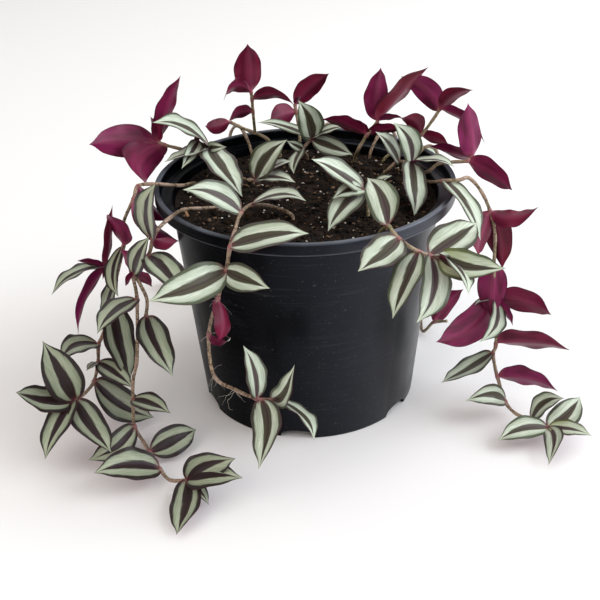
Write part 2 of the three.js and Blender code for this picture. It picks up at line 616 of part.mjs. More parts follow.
// The soil: it fills the pot to below the rim, with a lumpy top and a hole for each stem
function soilGeometry(roots) {
  const edge = innerRadius(SOIL_TOP - SOIL_DIP) - CLEARANCE;
  const profile = [[0, FLOOR + CLEARANCE], [innerRadius(FLOOR) - CLEARANCE, FLOOR + CLEARANCE]];
  for (let ring = SOIL_RINGS; ring >= 0; ring -= 1) {
    profile.push([edge * ring / SOIL_RINGS, SOIL_TOP]);
  }
  const geometry = turned(profile, POT_SIDES);
  const position = geometry.attributes.position;
  for (let index = 0; index < position.count; index += 1) {
    if (position.getZ(index) > SOIL_TOP / 2) {
      const dip = soilDip(position.getX(index), position.getY(index));
      position.setZ(index, SOIL_TOP - dip);
    }
  }
  let soil = solidOf(geometry);
  const [bottom, , mouth] = ROOT_LEVELS;
  const hole = [
    [0, bottom - CLEARANCE],
    [HOLE_RADIUS, bottom - CLEARANCE],
    [HOLE_RADIUS, HOLE_MOUTH_START],
    [HOLE_MOUTH_RADIUS, mouth],
    [0, mouth],
  ];
  for (const root of roots) {
    soil = soil.subtract(solidOf(turned(hole, HOLE_SIDES).translate(root.x, root.y, 0)));
  }
  return geometryOf(notched(soil));
}

function namedMesh(name, geometry, finish) {
  const mesh = new THREE.Mesh(geometry, new THREE.MeshStandardMaterial(MATERIALS[finish]));
  mesh.name = name;
  return mesh;
}

const axes = resolveJoints();
const roots = SHOOTS.flatMap(([, [[kind, x, y]]]) => (kind === "soil" ? [{ x, y }] : []));
const plant = new THREE.Group();
plant.add(namedMesh("pot", potGeometry(), "pot"));
plant.add(namedMesh("soil", soilGeometry(roots), "soil"));
for (const node of new Set(axes.map((axis) => axis.node))) {
  const own = axes.filter((axis) => axis.node === node);
  plant.add(namedMesh(node, shootGeometry(own), PURPLE_SHOOTS.includes(node) ? "purple" : "green"));
}

export default plant;
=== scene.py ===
# A potted Tradescantia zebrina in a black nursery pot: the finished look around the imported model.
# Sizes in this script are in millimetres unless a comment says otherwise. Meshes are in metres.
import json
import math
from collections import namedtuple

import bpy
import numpy as np
from mathutils import Matrix, Vector, noise

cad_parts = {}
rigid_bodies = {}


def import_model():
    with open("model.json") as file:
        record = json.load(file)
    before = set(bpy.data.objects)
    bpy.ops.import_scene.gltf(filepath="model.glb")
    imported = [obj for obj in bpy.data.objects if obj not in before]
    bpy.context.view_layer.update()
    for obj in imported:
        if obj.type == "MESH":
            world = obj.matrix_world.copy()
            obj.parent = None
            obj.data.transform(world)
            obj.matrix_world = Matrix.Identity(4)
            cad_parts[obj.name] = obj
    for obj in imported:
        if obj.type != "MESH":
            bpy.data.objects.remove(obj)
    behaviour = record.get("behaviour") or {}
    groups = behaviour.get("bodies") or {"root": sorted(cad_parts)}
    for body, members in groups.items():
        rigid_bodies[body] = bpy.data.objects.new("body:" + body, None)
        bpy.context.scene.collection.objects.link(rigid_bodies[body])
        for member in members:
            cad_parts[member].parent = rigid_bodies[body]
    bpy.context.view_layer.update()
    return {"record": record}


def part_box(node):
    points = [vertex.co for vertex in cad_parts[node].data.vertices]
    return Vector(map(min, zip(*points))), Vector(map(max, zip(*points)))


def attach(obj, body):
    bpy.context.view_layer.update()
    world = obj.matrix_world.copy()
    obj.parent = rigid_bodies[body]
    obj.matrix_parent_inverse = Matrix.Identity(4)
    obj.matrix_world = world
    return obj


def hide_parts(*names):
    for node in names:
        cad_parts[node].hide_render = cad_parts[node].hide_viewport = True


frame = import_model()

MM = 0.001

# Pot: its height and its rim's radius come from the frame
POT_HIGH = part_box("pot")[1]
POT_HEIGHT = POT_HIGH.z / MM
RIM_RADIUS = POT_HIGH.x / MM
RIM_HEIGHT = 8
RIM_WALL = 3.5
FOOT_RADIUS = 75.15
NECK_RADIUS = 89.4
WALL = 1.7
FLOOR = 3
POT_SIDES = 192
NOTCHES = 6
NOTCH_WIDTH = 23
NOTCH_HEIGHT = 6.5
NOTCH_TURN = math.radians(-7)
NOTCH_REACH = 14
NOTCH_STEPS = 12
NOTCH_FULLNESS = 0.8
CORNER_STEPS = 4
POT_SHARP = math.radians(40)
# Where the painted highlight on the rim's edges starts to fade and where it ends, and a scuff's usual size
EDGE_HIGHLIGHT_START = 0.4
EDGE_HIGHLIGHT_END = 1.3
SCUFF_LENGTH = 40
SCUFF_WIDTH = 1.2
# Dust: its specks, drawn coarser than real ones so that they show, and the clouds it lies in
SPECK_SIZE = 1.6
CLOUD_SIZE = 30

# Soil: its top, how far long and short waves take it down, and its lumps on top of them
SOIL_TOP = 146
SOIL_DIP = 1.6
LONG_WAVE = (0.11, 0.13)
SHORT_WAVE = (0.29, -0.23)
SHORT_WAVE_SHARE = 0.5
SOIL_LUMP = 1.6
SOIL_LUMP_SIZE = 7
SOIL_LUMP_SEED = 3.0
SOIL_RINGS = 60
SOIL_SIDES = 160
SOIL_SHARP = math.radians(60)
CLEARANCE = 0.3
PEAT_LUMP_SIZE = 6
FIBRE_SIZE = 1.2
GRAIN_MARGIN = 4
GRAIN_GRID = 40
# Loose grains on the soil: how many lie on a square metre, their smallest and largest radius, how
# they are stretched, how uneven they are, how far they sink, their roundness and their seed
GRAINS = {
    "peat_crumbs": (90000.0, 0.5, 1.8, (1, 0.9, 0.7), 0.7, 0.0, 1, 3),
    "perlite": (5000.0, 0.3, 1.1, (1, 0.85, 0.7), 0.6, 0.3, 2, 11),
    "bark_chips": (9000.0, 0.3, 1.4, (1.5, 0.9, 0.5), 0.9, 0.4, 1, 23),
}
LUMPS_A_GRAIN = 0.8
# The one long chip of bark: its ends as joints are given, its width and its depth
SLIVER_ENDS = [[188.5, 216.5, "z", 147], [184, 208, "z", 150]]
SLIVER_WIDTH = 1.6
SLIVER_DEPTH = 0.8

# Stems: a rod that swells in a ring at each leafy joint and under the sheath after every joint
STEM_RADIUS = 1.12
STEM_SIDES = 10
STEM_STEP = 1.6
RING_REACH = 1.6
RING_SWELL = 0.28
SHEATH_LENGTH = 7
SHEATH_SWELL = 0.16
SHEATH_FADE = 0.8
BLOTCH_SIZE = 1.3
ROOT_LEVELS = [134, 140, 148]

# Fine roots, which hang out of some joints of the front shoot: how far they spread from straight
# out, how they wander and droop a step, and how much they thin out to their ends
ROOTED_JOINTS = slice(9, 13)
ROOTS_A_JOINT = 6
ROOT_LENGTH = (7, 17)
ROOT_STEP = 1
ROOT_RADIUS = 0.13
ROOT_SPREAD = 0.8
ROOT_FALL = 0.5
ROOT_WANDER = 0.3
ROOT_DROOP = 0.05
ROOT_THINNING = 0.7
ROOT_SIDES = 4

# Leaves: widths, heights and places along a leaf are shares of its length, and its edge's droop
# and waves are shares of its half width there
BLADE_THICKNESS = 0.55
LEAF_WIDTH = 0.48
LEAF_ARCH = 0.06
LEAF_FOLD = 15
WIDEST_AT = 0.38
NECK_HALF_WIDTH = 1
ALONG = 22
ACROSS = 12
LEAF_MIDDLE = 0.4
FULLNESS = 2.2
TIP_HALF_WIDTH = 0.12
POINT_START = 0.78
POINT_DRAW = 0.45
NECK_REACH = (0.02, 0.2)
NECK_FOLD = 25
NECK_FOLD_REACH = 0.1
THINNING = 0.6
THIN_FROM = 0.8
# The crease along the midrib is rounded: how softly, and what brings it to 0 there and 1 outside
CREASE_SOFTNESS = 0.012
CREASE_DROP = 0.11
CREASE_SPAN = 0.896
EDGE_DROOP = 0.05
WAVES = 2.2
WAVES_SPREAD = 0.8
WAVE_HEIGHT = 0.09
HOOK_START = 0.72
TIP_HOOK = 0.03
SIDE_SWAY = 0.012
LEAF_SHARP = math.radians(60)

# The stripes of a leaf: the size of a streak in mm, then in shares of its half width where the dark
# centre and the silver end along it, how those edges waver, differ and blur, and how far the silver
# of a leaf with painted shade is narrower. OLIVE_LEAN is how much sooner the middle turns olive off
# the midrib.
STREAK_WIDTH = 0.6
STREAK_LENGTH = 16
STREAK_SLICES = 50
CENTRE_HALF_WIDTH = [(0, 0.3), (0.15, 0.3), (0.4, 0.27), (0.65, 0.21), (0.85, 0.12), (1, 0.04)]
SILVER_REACH = [(0, 0.5), (0.12, 0.74), (0.5, 0.8), (0.85, 0.8), (1, 0.7)]
EDGE_WOBBLE = 0.22
CENTRE_SPREAD = 0.10
CENTRE_BLUR = (-0.045, 0.055)
SILVER_BLUR = (-0.06, 0.05)
SHADE_SHIFT = 0.07
OLIVE_LEAN = 2.2

# The viewpoint of the reference photograph, 634 mm in front of the pot and looking down, with its
# focal length and its middle in the picture's own units, of which there are 600 across and down
EYE = np.array([-1.0, -634.0, 421.0])
VIEW_PITCH = math.radians(29.3)
VIEW_ROLL = math.radians(1.55)
VIEW_YAW = math.radians(-0.4)
VIEW_FOCAL = 1024
VIEW_MIDDLE = 300

# The shoots. Each row is one axis of a shoot: its node, its joints from the root up, its leaves.
# A root is "soil" with x and y in mm. A side branch starts "from" an axis and a joint of its node.
# A joint is where it shows in the view, across and down, and its x, y or z in mm, or plain x, y, z.
# A leaf is its joint, where its tip shows, its length in mm, the width that shows in view units,
# and the face that shows, top or under. Its tip lies on the near side, unless it is far. Its back
# bulges up in the view, or as said. ratio, arch and fold differ from the usual leaf where given,
# bend shifts its middle to the left, seen from the base along the face that shows, by that share
# of its length, and young is a fresh yellow-green leaf.
SHOOTS = [
    ["front_trail", [
        ["soil", -9, -36], [272, 206.5, "z", 151], [252, 205, "z", 155], [241, 213, "z", 160],
        [234.5, 232, "z", 161], [230, 247, "y", -101], [226, 271, "y", -101], [218, 298, "y", -100],
        [209, 334, "y", -100], [214, 375.5, "y", -105], [236, 390, "y", -109], [256, 398.5, "y", -112],
        [262, 400, "y", -113], [273, 399.5, "y", -113],
    ], [
        [5, 184, 189, 40, 27, "top", {"bend": -0.1}], [4, 305.5, 199.5, 38, 13, "top", {"bend": 0.13}],
        [7, 308, 232, 47, 30, "top"], [8, 149, 300, 50, 39, "top", {"bend": 0.06}],
        [8, 268.5, 288, 36, 31, "top", {"bend": -0.02}], [9, 217.5, 341, 28, 18, "under", {"bend": 0.2}],
        [10, 231, 338, 18, 7, "under", {"bulge": "down", "arch": 0.22}],
        [13, 244.5, 346, 36, 22.5, "top", {"bend": -0.04}], [14, 257, 468, 46, 30, "top", {"bend": 0.17}],
        [15, 293, 365, 34, 20, "top", {"bend": -0.23}], [15, 315, 438, 42, 13, "top", {"bend": 0.13}],
    ]],
    ["left_trail", [
        ["soil", -55, -23], [200, 208.5, "z", 151], [184, 209.5, "z", 155], [171, 217, "z", 164],
        [158, 229, "z", 162], [153, 239, "z", 155], [148, 256, "z", 145], [134, 274, "y", -84],
        [137, 300, "y", -83], [137, 357, "y", -80], [133, 381, "y", -79], [133, 400, "y", -80],
        [134.5, 426, "y", -83], [143, 441, "y", -88], [149.5, 452, "z", 9], [160, 469, "z", 6],
        [170, 480, "z", 7], [188, 480, "z", 10],
    ], [
        [7, 154, 184, 42, 23, "top", {"bend": 0.08}], [7, 177, 243, 23, 14, "under", {"bulge": "down"}],
        [9, 148, 237, 32, 20, "top"], [9, 121, 249, 22, 12, "under", {"far": 1}],
        [9, 152, 286, 20, 12, "under", {"far": 1}], [8, 184, 295, 42, 31, "top", {"ratio": 0.52}],
        [9, 125, 286, 14, 6, "under"], [10, 97, 332, 40, 22, "top", {"bend": -0.04}],
        [13, 170, 412, 34, 20, "top"], [14, 88.5, 460, 38, 30, "top", {"bend": 0.1}],
        [16, 197, 429, 38, 33, "top", {"far": 1, "ratio": 0.56}],
        [17, 94.5, 472, 46, 34, "top", {"ratio": 0.53, "bend": -0.05}],
        [19, 234.5, 460, 44, 32, "top", {"bulge": "down", "arch": -0.02, "bend": 0.1}],
        [19, 241.5, 477, 42, 29, "top", {"arch": 0.1}],
        [19, 175.5, 533, 45, 30, "top", {"arch": -0.04, "bend": 0.05}], [19, 209, 504, 22, 12, "top"],
    ]],
    ["left_trail", [
        ["from", 0, 9], [140.5, 285, "y", -84], [147, 300, "y", -82], [146, 316.5, "y", -80],
    ], [
        [3, 174, 375.5, 44, 32, "top", {"ratio": 0.52, "bend": -0.1}],
    ]],
    ["left_outer", [
        ["soil", -75, 20], [182, 185.5, "z", 153], [168.5, 185, "z", 158], [154, 184, "z", 161],
        [138, 186, "z", 159], [133.5, 199, "z", 152], [123.5, 223, "y", -16], [123.5, 246, "y", -20],
        [116, 280, "y", -26], [111, 303, "y", -31], [103, 334, "y", -40], [98.5, 345, "y", -44],
        [98, 363, "y", -50], [94, 381, "y", -57], [86, 392, "z", 39], [75, 400, "z", 36],
    ], [
        [9, 117, 296, 40, 15, "top", {"ratio": 0.4, "bend": -0.1}],
        [9, 108, 213, 36, 17, "under", {"bulge": "right"}],
        [15, 155, 417, 50, 34, "top", {"far": 1, "ratio": 0.5, "arch": -0.02, "bend": -0.1}],
        [14, 133, 387, 34, 22, "top"], [14, 86.5, 370, 14, 6, "top"],
        [13, 60, 360, 38, 22, "top", {"bend": -0.12}], [11, 133, 387, 55, 32, "top", {"bend": -0.08}],
        [10, 102, 320, 34, 14, "top", {"far": 1, "bend": 0.08}],
        [17, 43, 342, 48, 42, "top", {"ratio": 0.54}], [17, 17, 391, 44, 27, "top", {"arch": -0.15}],
        [17, 44, 458, 46, 25, "top"], [17, 112, 451, 49, 31, "top", {"arch": -0.04, "bend": -0.03}],
        [17, 60, 402, 10, 6, "top"], [6, 166, 222, 36, 14, "under", {"far": 1, "bulge": "down"}],
        [7, 178.5, 242.5, 43, 17, "under", {"far": 1, "bulge": "down", "bend": -0.12}],
    ]],
    ["left_outer", [
        ["from", 0, 9], [114, 262, "y", -22], [106, 268, "y", -24],
    ], [
        [2, 110.5, 205, 46, 9, "under", {"bulge": "left", "ratio": 0.24, "arch": 0, "bend": -0.04}],
        [2, 51, 293, 42, 11, "top", {"arch": 0.12}], [2, 77, 260, 22, 7, "under", {"ratio": 0.3}],
        [2, 76, 334, 52, 10, "under", {"ratio": 0.27, "bend": -0.07}], [1, 99, 284, 14, 5, "under"],
    ]],
    ["purple_left", [
        ["soil", -58, 50], [200, 154, "z", 157], [181, 149, "z", 164], [165, 145, "z", 168],
        [158, 142, "z", 170],
    ], [
        [6, 88.5, 144.5, 50, 36, "under", {"bend": -0.03}],
        [6, 179, 75, 50, 18, "under", {"bulge": "left", "ratio": 0.36, "arch": 0.02}],
        [6, 151, 116, 20, 9, "under"],
        [5, 146, 186, 45, 37, "under", {"bulge": "left", "ratio": 0.6, "arch": 0.12, "bend": -0.22}],
        [5, 158, 160, 14, 10, "under", {"far": 1}],
    ]],
    ["top_left", [
        ["soil", -50, 62], [219, 153, "z", 158], [208.5, 147.5, "z", 165], [198, 142, "z", 170],
    ], [
        [4, 154, 121, 50, 15, "top", {"arch": 0.08, "bend": -0.06}],
        [5, 182, 168, 28, 20, "top", {"fold": 40}], [4, 164, 160.5, 36, 10, "top", {"bend": 0.16}],
        [4, 243, 195, 54, 28, "top", {"bend": -0.08}], [4, 226, 147, 18, 14, "top", {"arch": 0.15}],
        [5, 196, 136, 8, 6, "under"],
    ]],
    ["centre_left", [
        ["soil", -36, 22], [249, 180, "z", 154], [256, 180, "z", 158],
    ], [
        [4, 286, 140, 38, 28, "top", {"ratio": 0.54, "bend": 0.06}], [4, 295, 181, 33, 12, "top"],
        [4, 291, 160, 30, 10, "top"],
    ]],
    ["back_left", [
        ["soil", -18, 74], [267, 139, "z", 156], [255, 133, "z", 161], [240, 127, "z", 166],
        [230, 122, "z", 169],
    ], [
        [6, 204.5, 126.5, 24, 20, "under", {"bend": 0.06}],
    ]],
    ["back_left", [
        ["from", 0, 4], [253, 112, "y", 76], [252, 100, "y", 75], [251, 92, "y", 74],
    ], [
        [3, 247, 43.5, 36, 29, "under", {"bulge": "left", "ratio": 0.6, "arch": 0.03}],
        [3, 223, 99.5, 27, 13, "under", {"arch": 0.15, "bend": -0.2}],
        [2, 296, 105, 37, 11, "under", {"ratio": 0.34, "arch": 0.1, "bend": 0.12}],
        [1, 228, 120.5, 24, 12, "under", {"bend": -0.08}],
    ]],
    ["back_centre", [
        ["soil", -3, 80], [299, 128, "y", 86], [296, 112, "y", 90], [295, 104, "y", 92],
    ], [
        [5, 329, 73, 34, 21, "under", {"bend": 0.03}], [4, 269, 121, 30, 24, "under", {"ratio": 0.6}],
        [5, 300, 96, 10, 5, "under"],
    ]],
    ["centre_back", [
        ["soil", 2, 66], [303, 149, "z", 155], [312, 139, "z", 162],
    ], [
        [4, 299, 101, 33, 28, "top", {"ratio": 0.62, "bend": -0.06}],
        [4, 258, 121, 42, 10, "top", {"ratio": 0.3}], [4, 348, 126, 30, 8, "top"],
        [4, 356, 156, 31, 22, "top"], [3, 287, 141, 16, 12, "top"], [3, 293, 173, 29, 12, "top"],
    ]],
    ["centre_right", [
        ["soil", 40, -34], [367, 196, "z", 155], [363, 190, "z", 161],
    ], [
        [4, 313, 158, 44, 21, "top", {"arch": 0.02}],
        [4, 333, 198, 26, 19, "top", {"ratio": 0.55, "arch": 0.15}],
        [4, 328, 230, 40, 28, "top", {"bend": -0.05}], [3, 391, 175, 24, 8, "top"],
    ]],
    ["front_right", [
        ["soil", 45, -66], [388, 226, "z", 159], [393, 232, "z", 163], [399, 239, "z", 161],
        [410, 247, "z", 158], [419, 252, "z", 155], [430, 256, "z", 152], [440, 257, "z", 151],
    ], [
        [3, 367, 177, 38, 34, "top", {"far": 1, "ratio": 0.54, "bend": -0.1}],
        [5, 358, 270, 35, 35, "top", {"ratio": 0.7, "arch": 0.02, "bend": 0.08}],
        [8, 477.5, 221.5, 38, 38, "top", {"far": 1, "ratio": 0.66, "bend": -0.05}],
        [9, 505, 267, 43, 32, "top", {"arch": 0.04, "bend": -0.11, "young": 1}],
        [8, 418, 322, 45, 33, "top", {"bulge": "right", "bend": 0.1}],
        [7, 391.5, 317.5, 44, 29, "top", {"bend": 0.04}], [9, 470, 292, 40, 13, "top", {"arch": 0.09}],
    ]],
    ["right_trail", [
        ["soil", 80, 16], [430, 182, "z", 152], [442, 181, "z", 161], [459, 180, "z", 164],
        [469, 178, "z", 164], [481, 191, "z", 156], [490, 211, "y", -26], [495, 235, "y", -28],
        [494, 265, "y", -28], [495, 299, "y", -28], [496, 343, "y", -30], [493, 353, "y", -31],
        [495, 367, "y", -34], [497.5, 377, "y", -40], [505, 401, "z", 11], [515, 413, "z", 9],
        [532, 421, "z", 8], [548, 428, "z", 10],
    ], [
        [4, 482, 238.5, 50, 18, "top", {"arch": 0.14, "bend": -0.11}],
        [8, 539, 208, 34, 18, "under", {"bulge": "down", "bend": -0.15}],
        [8, 503, 268, 42, 28, "under", {"far": 1}], [8, 477, 256, 34, 20, "under"],
        [10, 491, 317, 36, 31, "under", {"far": 1, "ratio": 0.58}],
        [11, 435, 341.5, 52, 34, "under", {"arch": 0, "bend": 0.14}],
        [11, 480.5, 342, 33, 18, "top", {"bulge": "right", "arch": 0.12, "bend": 0.12}],
        [11, 552, 314, 42, 24, "under", {"arch": 0.12}], [11, 513.5, 325, 22, 8, "under"],
        [11, 474, 304.5, 16, 4, "top"], [12, 570, 348, 52, 18, "under", {"arch": 0.03, "bend": 0.03}],
        [13, 441, 381, 43, 18, "top", {"arch": -0.06}], [15, 558, 389.5, 43, 18, "under", {"bend": 0.04}],
        [16, 466.5, 401, 32, 24, "top", {"arch": 0.15, "bend": -0.14}],
        [18, 563, 398, 32, 20, "top", {"ratio": 0.52, "bend": 0.13}],
        [19, 580, 396, 32, 28, "top", {"far": 1, "ratio": 0.6, "bend": -0.1}],
        [19, 498.5, 440, 36, 24, "top", {"bend": -0.08}], [19, 591, 434.5, 30, 16, "top", {"young": 1}],
        [19, 547.5, 464, 34, 19, "top", {"ratio": 0.42, "bend": 0.18}],
    ]],
    ["right_inner", [
        ["soil", 54, 26], [389, 169, "z", 156], [398, 162, "z", 161], [411, 163, "z", 163],
    ], [
        [4, 377, 131.5, 34, 15, "top"], [5, 394, 123, 34, 24, "top", {"ratio": 0.52, "bend": -0.12}],
        [5, 416, 216, 50, 25, "top", {"ratio": 0.42, "bend": -0.05}],
        [5, 454, 165, 34, 7, "top", {"bend": 0.05}],
    ]],
    ["tall_back_right", [
        ["soil", 36, 56], [358, 150, "y", 42], [367, 135, "y", 42], [378, 121, "y", 42],
    ], [
        [5, 380, 67, 40, 24, "under", {"bulge": "left", "arch": 0.06}],
        [5, 427, 65.5, 50, 16, "under", {"arch": 0.05, "bend": -0.07}], [5, 403, 117, 18, 6, "under"],
        [4, 322, 118, 34, 14, "under"], [4, 361, 121, 12, 5, "under"], [4, 402, 128, 26, 12, "under"],
    ]],
    ["top_right", [
        ["soil", 58, 58], [408, 143, "y", 59], [421, 135, "y", 58], [432, 121, "y", 57],
        [440, 109, "y", 56],
    ], [
        [6, 402, 76.5, 38, 25, "under", {"far": 1, "bend": -0.08}],
        [6, 473, 89, 30, 15, "under", {"bend": 0.09}],
        [6, 486, 141.5, 44, 10, "under", {"ratio": 0.3, "bend": 0.08}], [4, 449, 144, 22, 12, "under"],
        [4, 400, 118, 25, 18, "under", {"ratio": 0.54, "bend": -0.18}],
    ]],
    ["right_edge", [
        ["soil", 74, 30], [427, 172, "z", 156], [438, 164, "z", 162], [453, 162, "z", 164],
        [467, 161, "z", 166], [473, 157, "z", 168],
    ], [
        [7, 467, 103, 37, 24, "under", {"bulge": "left", "ratio": 0.52, "arch": 0.02, "bend": -0.03}],
        [6, 513.5, 189.5, 40, 22, "under", {"bend": -0.02}],
        [7, 429, 144, 36, 12, "under", {"far": 1, "bend": 0.19}],
    ]],
    ["back_trail_left", [
        ["soil", -38, 71], [-42, 82, 157], [-48, 89, 164], [-54, 98, 157], [-57, 105, 142],
        [-56, 107, 118], [-55, 109, 94], [-58, 112, 70], [-61, 117, 46], [-66, 126, 24], [-76, 137, 9],
        [-90, 144, 7],
    ], []],
    ["back_trail_middle", [
        ["soil", 14, 80], [15, 87, 156], [17, 95, 161], [20, 104, 157], [22, 110, 142], [21, 113, 116],
        [23, 115, 90], [26, 118, 66], [29, 124, 42], [34, 134, 20], [43, 145, 8], [56, 150, 7],
    ], []],
    ["back_trail_right", [
        ["soil", 48, 68], [53, 74, 157], [58, 80, 162], [66, 88, 157], [71, 95, 143], [72, 98, 120],
        [70, 100, 96], [73, 102, 72], [78, 106, 52],
    ], []],
    ["low_right", [
        ["soil", 70, 40], [78, 42, 155], [86, 45, 161], [93, 50, 157], [97, 56, 142], [96, 60, 118],
        [94, 63, 94], [421, 325, "y", 58], [434, 322, "y", 52], [447, 321, "y", 47],
    ], [
        [10, 464, 288, 34, 20, "under", {"bend": 0.06}],
    ]],
]

# Shoots behind the pot carry leaves by rule, one at each joint from the first to the last given.
BACK_LEAF_JOINTS = {
    "back_trail_left": (6, 13), "back_trail_middle": (6, 13), "back_trail_right": (6, 10),
    "low_right": (7, 7),
}
BACK_LEAF_LENGTH = 40
BACK_LEAF_SPREAD = math.radians(55)
BACK_LEAF_DROOP = math.radians(-20)
FLOOR_LEAF_LIFT = math.radians(5)
FLOOR_LEVEL = 30

# How much painted shade darkens the leaf colours, from 0 to 1, of the shoots that lie in shade
# and of the others, and how olive green the stems are, from brown (0) to green (1), of the greener
# shoots and the others
USUAL_SHADE = 0.2
USUAL_OLIVE = 0.1
SHADED_SHOOTS = {"left_trail": 0.9, "left_outer": 0.9, "back_trail_left": 0.9}
OLIVE_STEMS = {
    "top_right": 0.75, "right_edge": 0.5, "tall_back_right": 0.55, "front_right": 0.9,
    "purple_left": 0.7, "back_left": 0.6, "back_centre": 0.5, "low_right": 0.45,
    "right_trail": 0.3, "right_inner": 0.4, "centre_right": 0.5, "top_left": 0.35,
}

# Studio: the floor's size, the strength of the white surroundings, and the place in metres that
# the lights face
FLOOR_SIZE = 12000
WORLD_STRENGTH = 0.26
LIGHT_AIM = (0, 0, 0.1)
# Each light: its name, its place and size in metres, its power in watts, its colour, and whether
# shiny surfaces mirror it
LIGHTS = [
    ("window", (2.2, 0.0, 1.5), 2.0, 66, "#f4f9ff", True),
    ("ceiling", (0.0, 0.0, 2.5), 3.0, 24, "#ffffff", True),
    ("right_front", (1.6, -1.6, 1.5), 2.0, 20, "#f4f9ff", True),
    ("left_front", (-1.6, -1.6, 1.5), 2.0, 27, "#fff5ea", False),
    ("back", (0.0, 2.4, 1.8), 2.0, 15, "#ffffff", True),
]
SENSOR_WIDTH = 36

# Seeds of the random draws
LEAF_SEED = 41
ROOT_SEED = 7

Leaf = namedtuple("Leaf", "base axis upper length ratio arch fold bend young")


def unit(vector):
    """A direction from any vector."""
    return vector / np.linalg.norm(vector)


def smooth_step(low, high, value):
    """A soft rise from 0 at one value to 1 at another."""
    share = np.clip((value - low) / (high - low), 0, 1)
    return share * share * (3 - 2 * share)


def view_axes():
    """The viewpoint's directions: to the right, up, and ahead."""
    ahead = np.array([
        math.sin(VIEW_YAW) * math.cos(VIEW_PITCH),
        math.cos(VIEW_YAW) * math.cos(VIEW_PITCH),
        -math.sin(VIEW_PITCH),
    ])
    level = np.array([math.cos(VIEW_YAW), -math.sin(VIEW_YAW), 0])
    square = np.cross(level, ahead)
    right = level * math.cos(VIEW_ROLL) - square * math.sin(VIEW_ROLL)
    up = level * math.sin(VIEW_ROLL) + square * math.cos(VIEW_ROLL)
    return right, up, ahead


RIGHT, UP, AHEAD = view_axes()
BULGE = {"up": UP, "down": -UP, "left": -RIGHT, "right": RIGHT}


def line_of_sight(across, down):
    """The direction from the eye to a place in the view."""
    offset = RIGHT * (across - VIEW_MIDDLE) - UP * (down - VIEW_MIDDLE)
    return unit(AHEAD + offset / VIEW_FOCAL)


def joint_place(joint):
    """A joint's place in mm."""
    if len(joint) == 3:
        return np.array(joint, float)
    across, down, coordinate, value = joint
    ray = line_of_sight(across, down)
    index = "xyz".index(coordinate)
    return EYE + ray * (value - EYE[index]) / ray[index]


def leaf_axis(base, across, down, length, far):
    """A leaf's direction: its tip lies on the line of sight, a leaf's length from its base."""
    ray = line_of_sight(across, down)
    to_eye = EYE - base
    nearest = -to_eye @ ray
    spare = max(0, nearest ** 2 - to_eye @ to_eye + length ** 2)
    reach = nearest + (1 if far else -1) * math.sqrt(spare)
    return unit(to_eye + ray * reach)


def leaf_up(base, axis, length, ratio, seen_width, face, bulge):
    """The way a leaf's upper face points: the more it is turned from the eye, the narrower it looks."""
    middle = base + axis * LEAF_MIDDLE * length
    across = unit(np.cross(axis, unit(EYE - middle)))
    toward = np.cross(across, axis)
    full_width = length * ratio * VIEW_FOCAL / ((middle - EYE) @ AHEAD)
    facing = min(1, seen_width / full_width)
    if across @ BULGE[bulge] < 0:
        across = -across
    return toward * (facing if face == "top" else -facing) + across * math.sqrt(1 - facing ** 2)


def seen_leaf(joints, row):
    """A leaf that shows in the view."""
    joint, across, down, length, seen_width, face = row[:6]
    special = row[6] if len(row) > 6 else {}
    ratio = special.get("ratio", LEAF_WIDTH)
    base = joints[joint]
    axis = leaf_axis(base, across, down, length, special.get("far", 0))
    upper = leaf_up(base, axis, length, ratio, seen_width, face, special.get("bulge", "up"))
    arch = special.get("arch", LEAF_ARCH)
    fold = special.get("fold", LEAF_FOLD)
    bend = special.get("bend", 0) * (1 if face == "top" else -1)
    return Leaf(base, axis, upper, length, ratio, arch, fold, bend, special.get("young", 0))


def back_leaf(base, turn):
    """A leaf behind the pot: left or right of straight out, drooping, or level near the ground."""
    bearing = math.atan2(base[1], base[0]) + turn * BACK_LEAF_SPREAD
    climb = FLOOR_LEAF_LIFT if base[2] < FLOOR_LEVEL else BACK_LEAF_DROOP
    axis = np.array([
        math.cos(bearing) * math.cos(climb),
        math.sin(bearing) * math.cos(climb),
        math.sin(climb),
    ])
    upper = unit(np.array([0, 0, 1]) - axis * axis[2])
    return Leaf(base, axis, upper, BACK_LEAF_LENGTH, LEAF_WIDTH, LEAF_ARCH, LEAF_FOLD, 0, 0)


def grow_shoots():
    """Every shoot by its node's name: for each of its axes, the joints and the leaves."""
    shoots = {}
    for node, joints, rows in SHOOTS:
        axes = shoots.setdefault(node, [])
        places = []
        for joint in joints:
            if joint[0] == "soil":
                places += [np.array([joint[1], joint[2], level], float) for level in ROOT_LEVELS]
            elif joint[0] == "from":
                places.append(axes[joint[1]][0][joint[2]])
            else:
                places.append(joint_place(joint))
        leaves = [seen_leaf(places, row) for row in rows]
        first, last = BACK_LEAF_JOINTS.get(node, (0, -1))
        for index in range(first, last + 1):
            leaves.append(back_leaf(places[index], 1 if index % 2 else -1))
        axes.append((places, leaves))
    return shoots


def linear(code):
    """An sRGB hex colour as linear light."""
    parts = [int(code[start:start + 2], 16) / 255 for start in (1, 3, 5)]
    light = [part / 12.92 if part <= 0.04045 else ((part + 0.055) / 1.055) ** 2.4 for part in parts]
    return (*light, 1.0)


def add(tree, kind, inputs=None, **settings):
    """One node with its settings. An input takes a value, or a link from another node's output."""
    node = tree.nodes.new(kind)
    for name, value in settings.items():
        setattr(node, name, value)
    for socket, source in (inputs or {}).items():
        if isinstance(source, bpy.types.NodeSocket):
            tree.links.new(source, node.inputs[socket])
        else:
            node.inputs[socket].default_value = source
    return node


def new_material(name):
    """An empty material and its node tree."""
    material = bpy.data.materials.new(name)
    material.use_nodes = True
    material.node_tree.nodes.clear()
    return material, material.node_tree


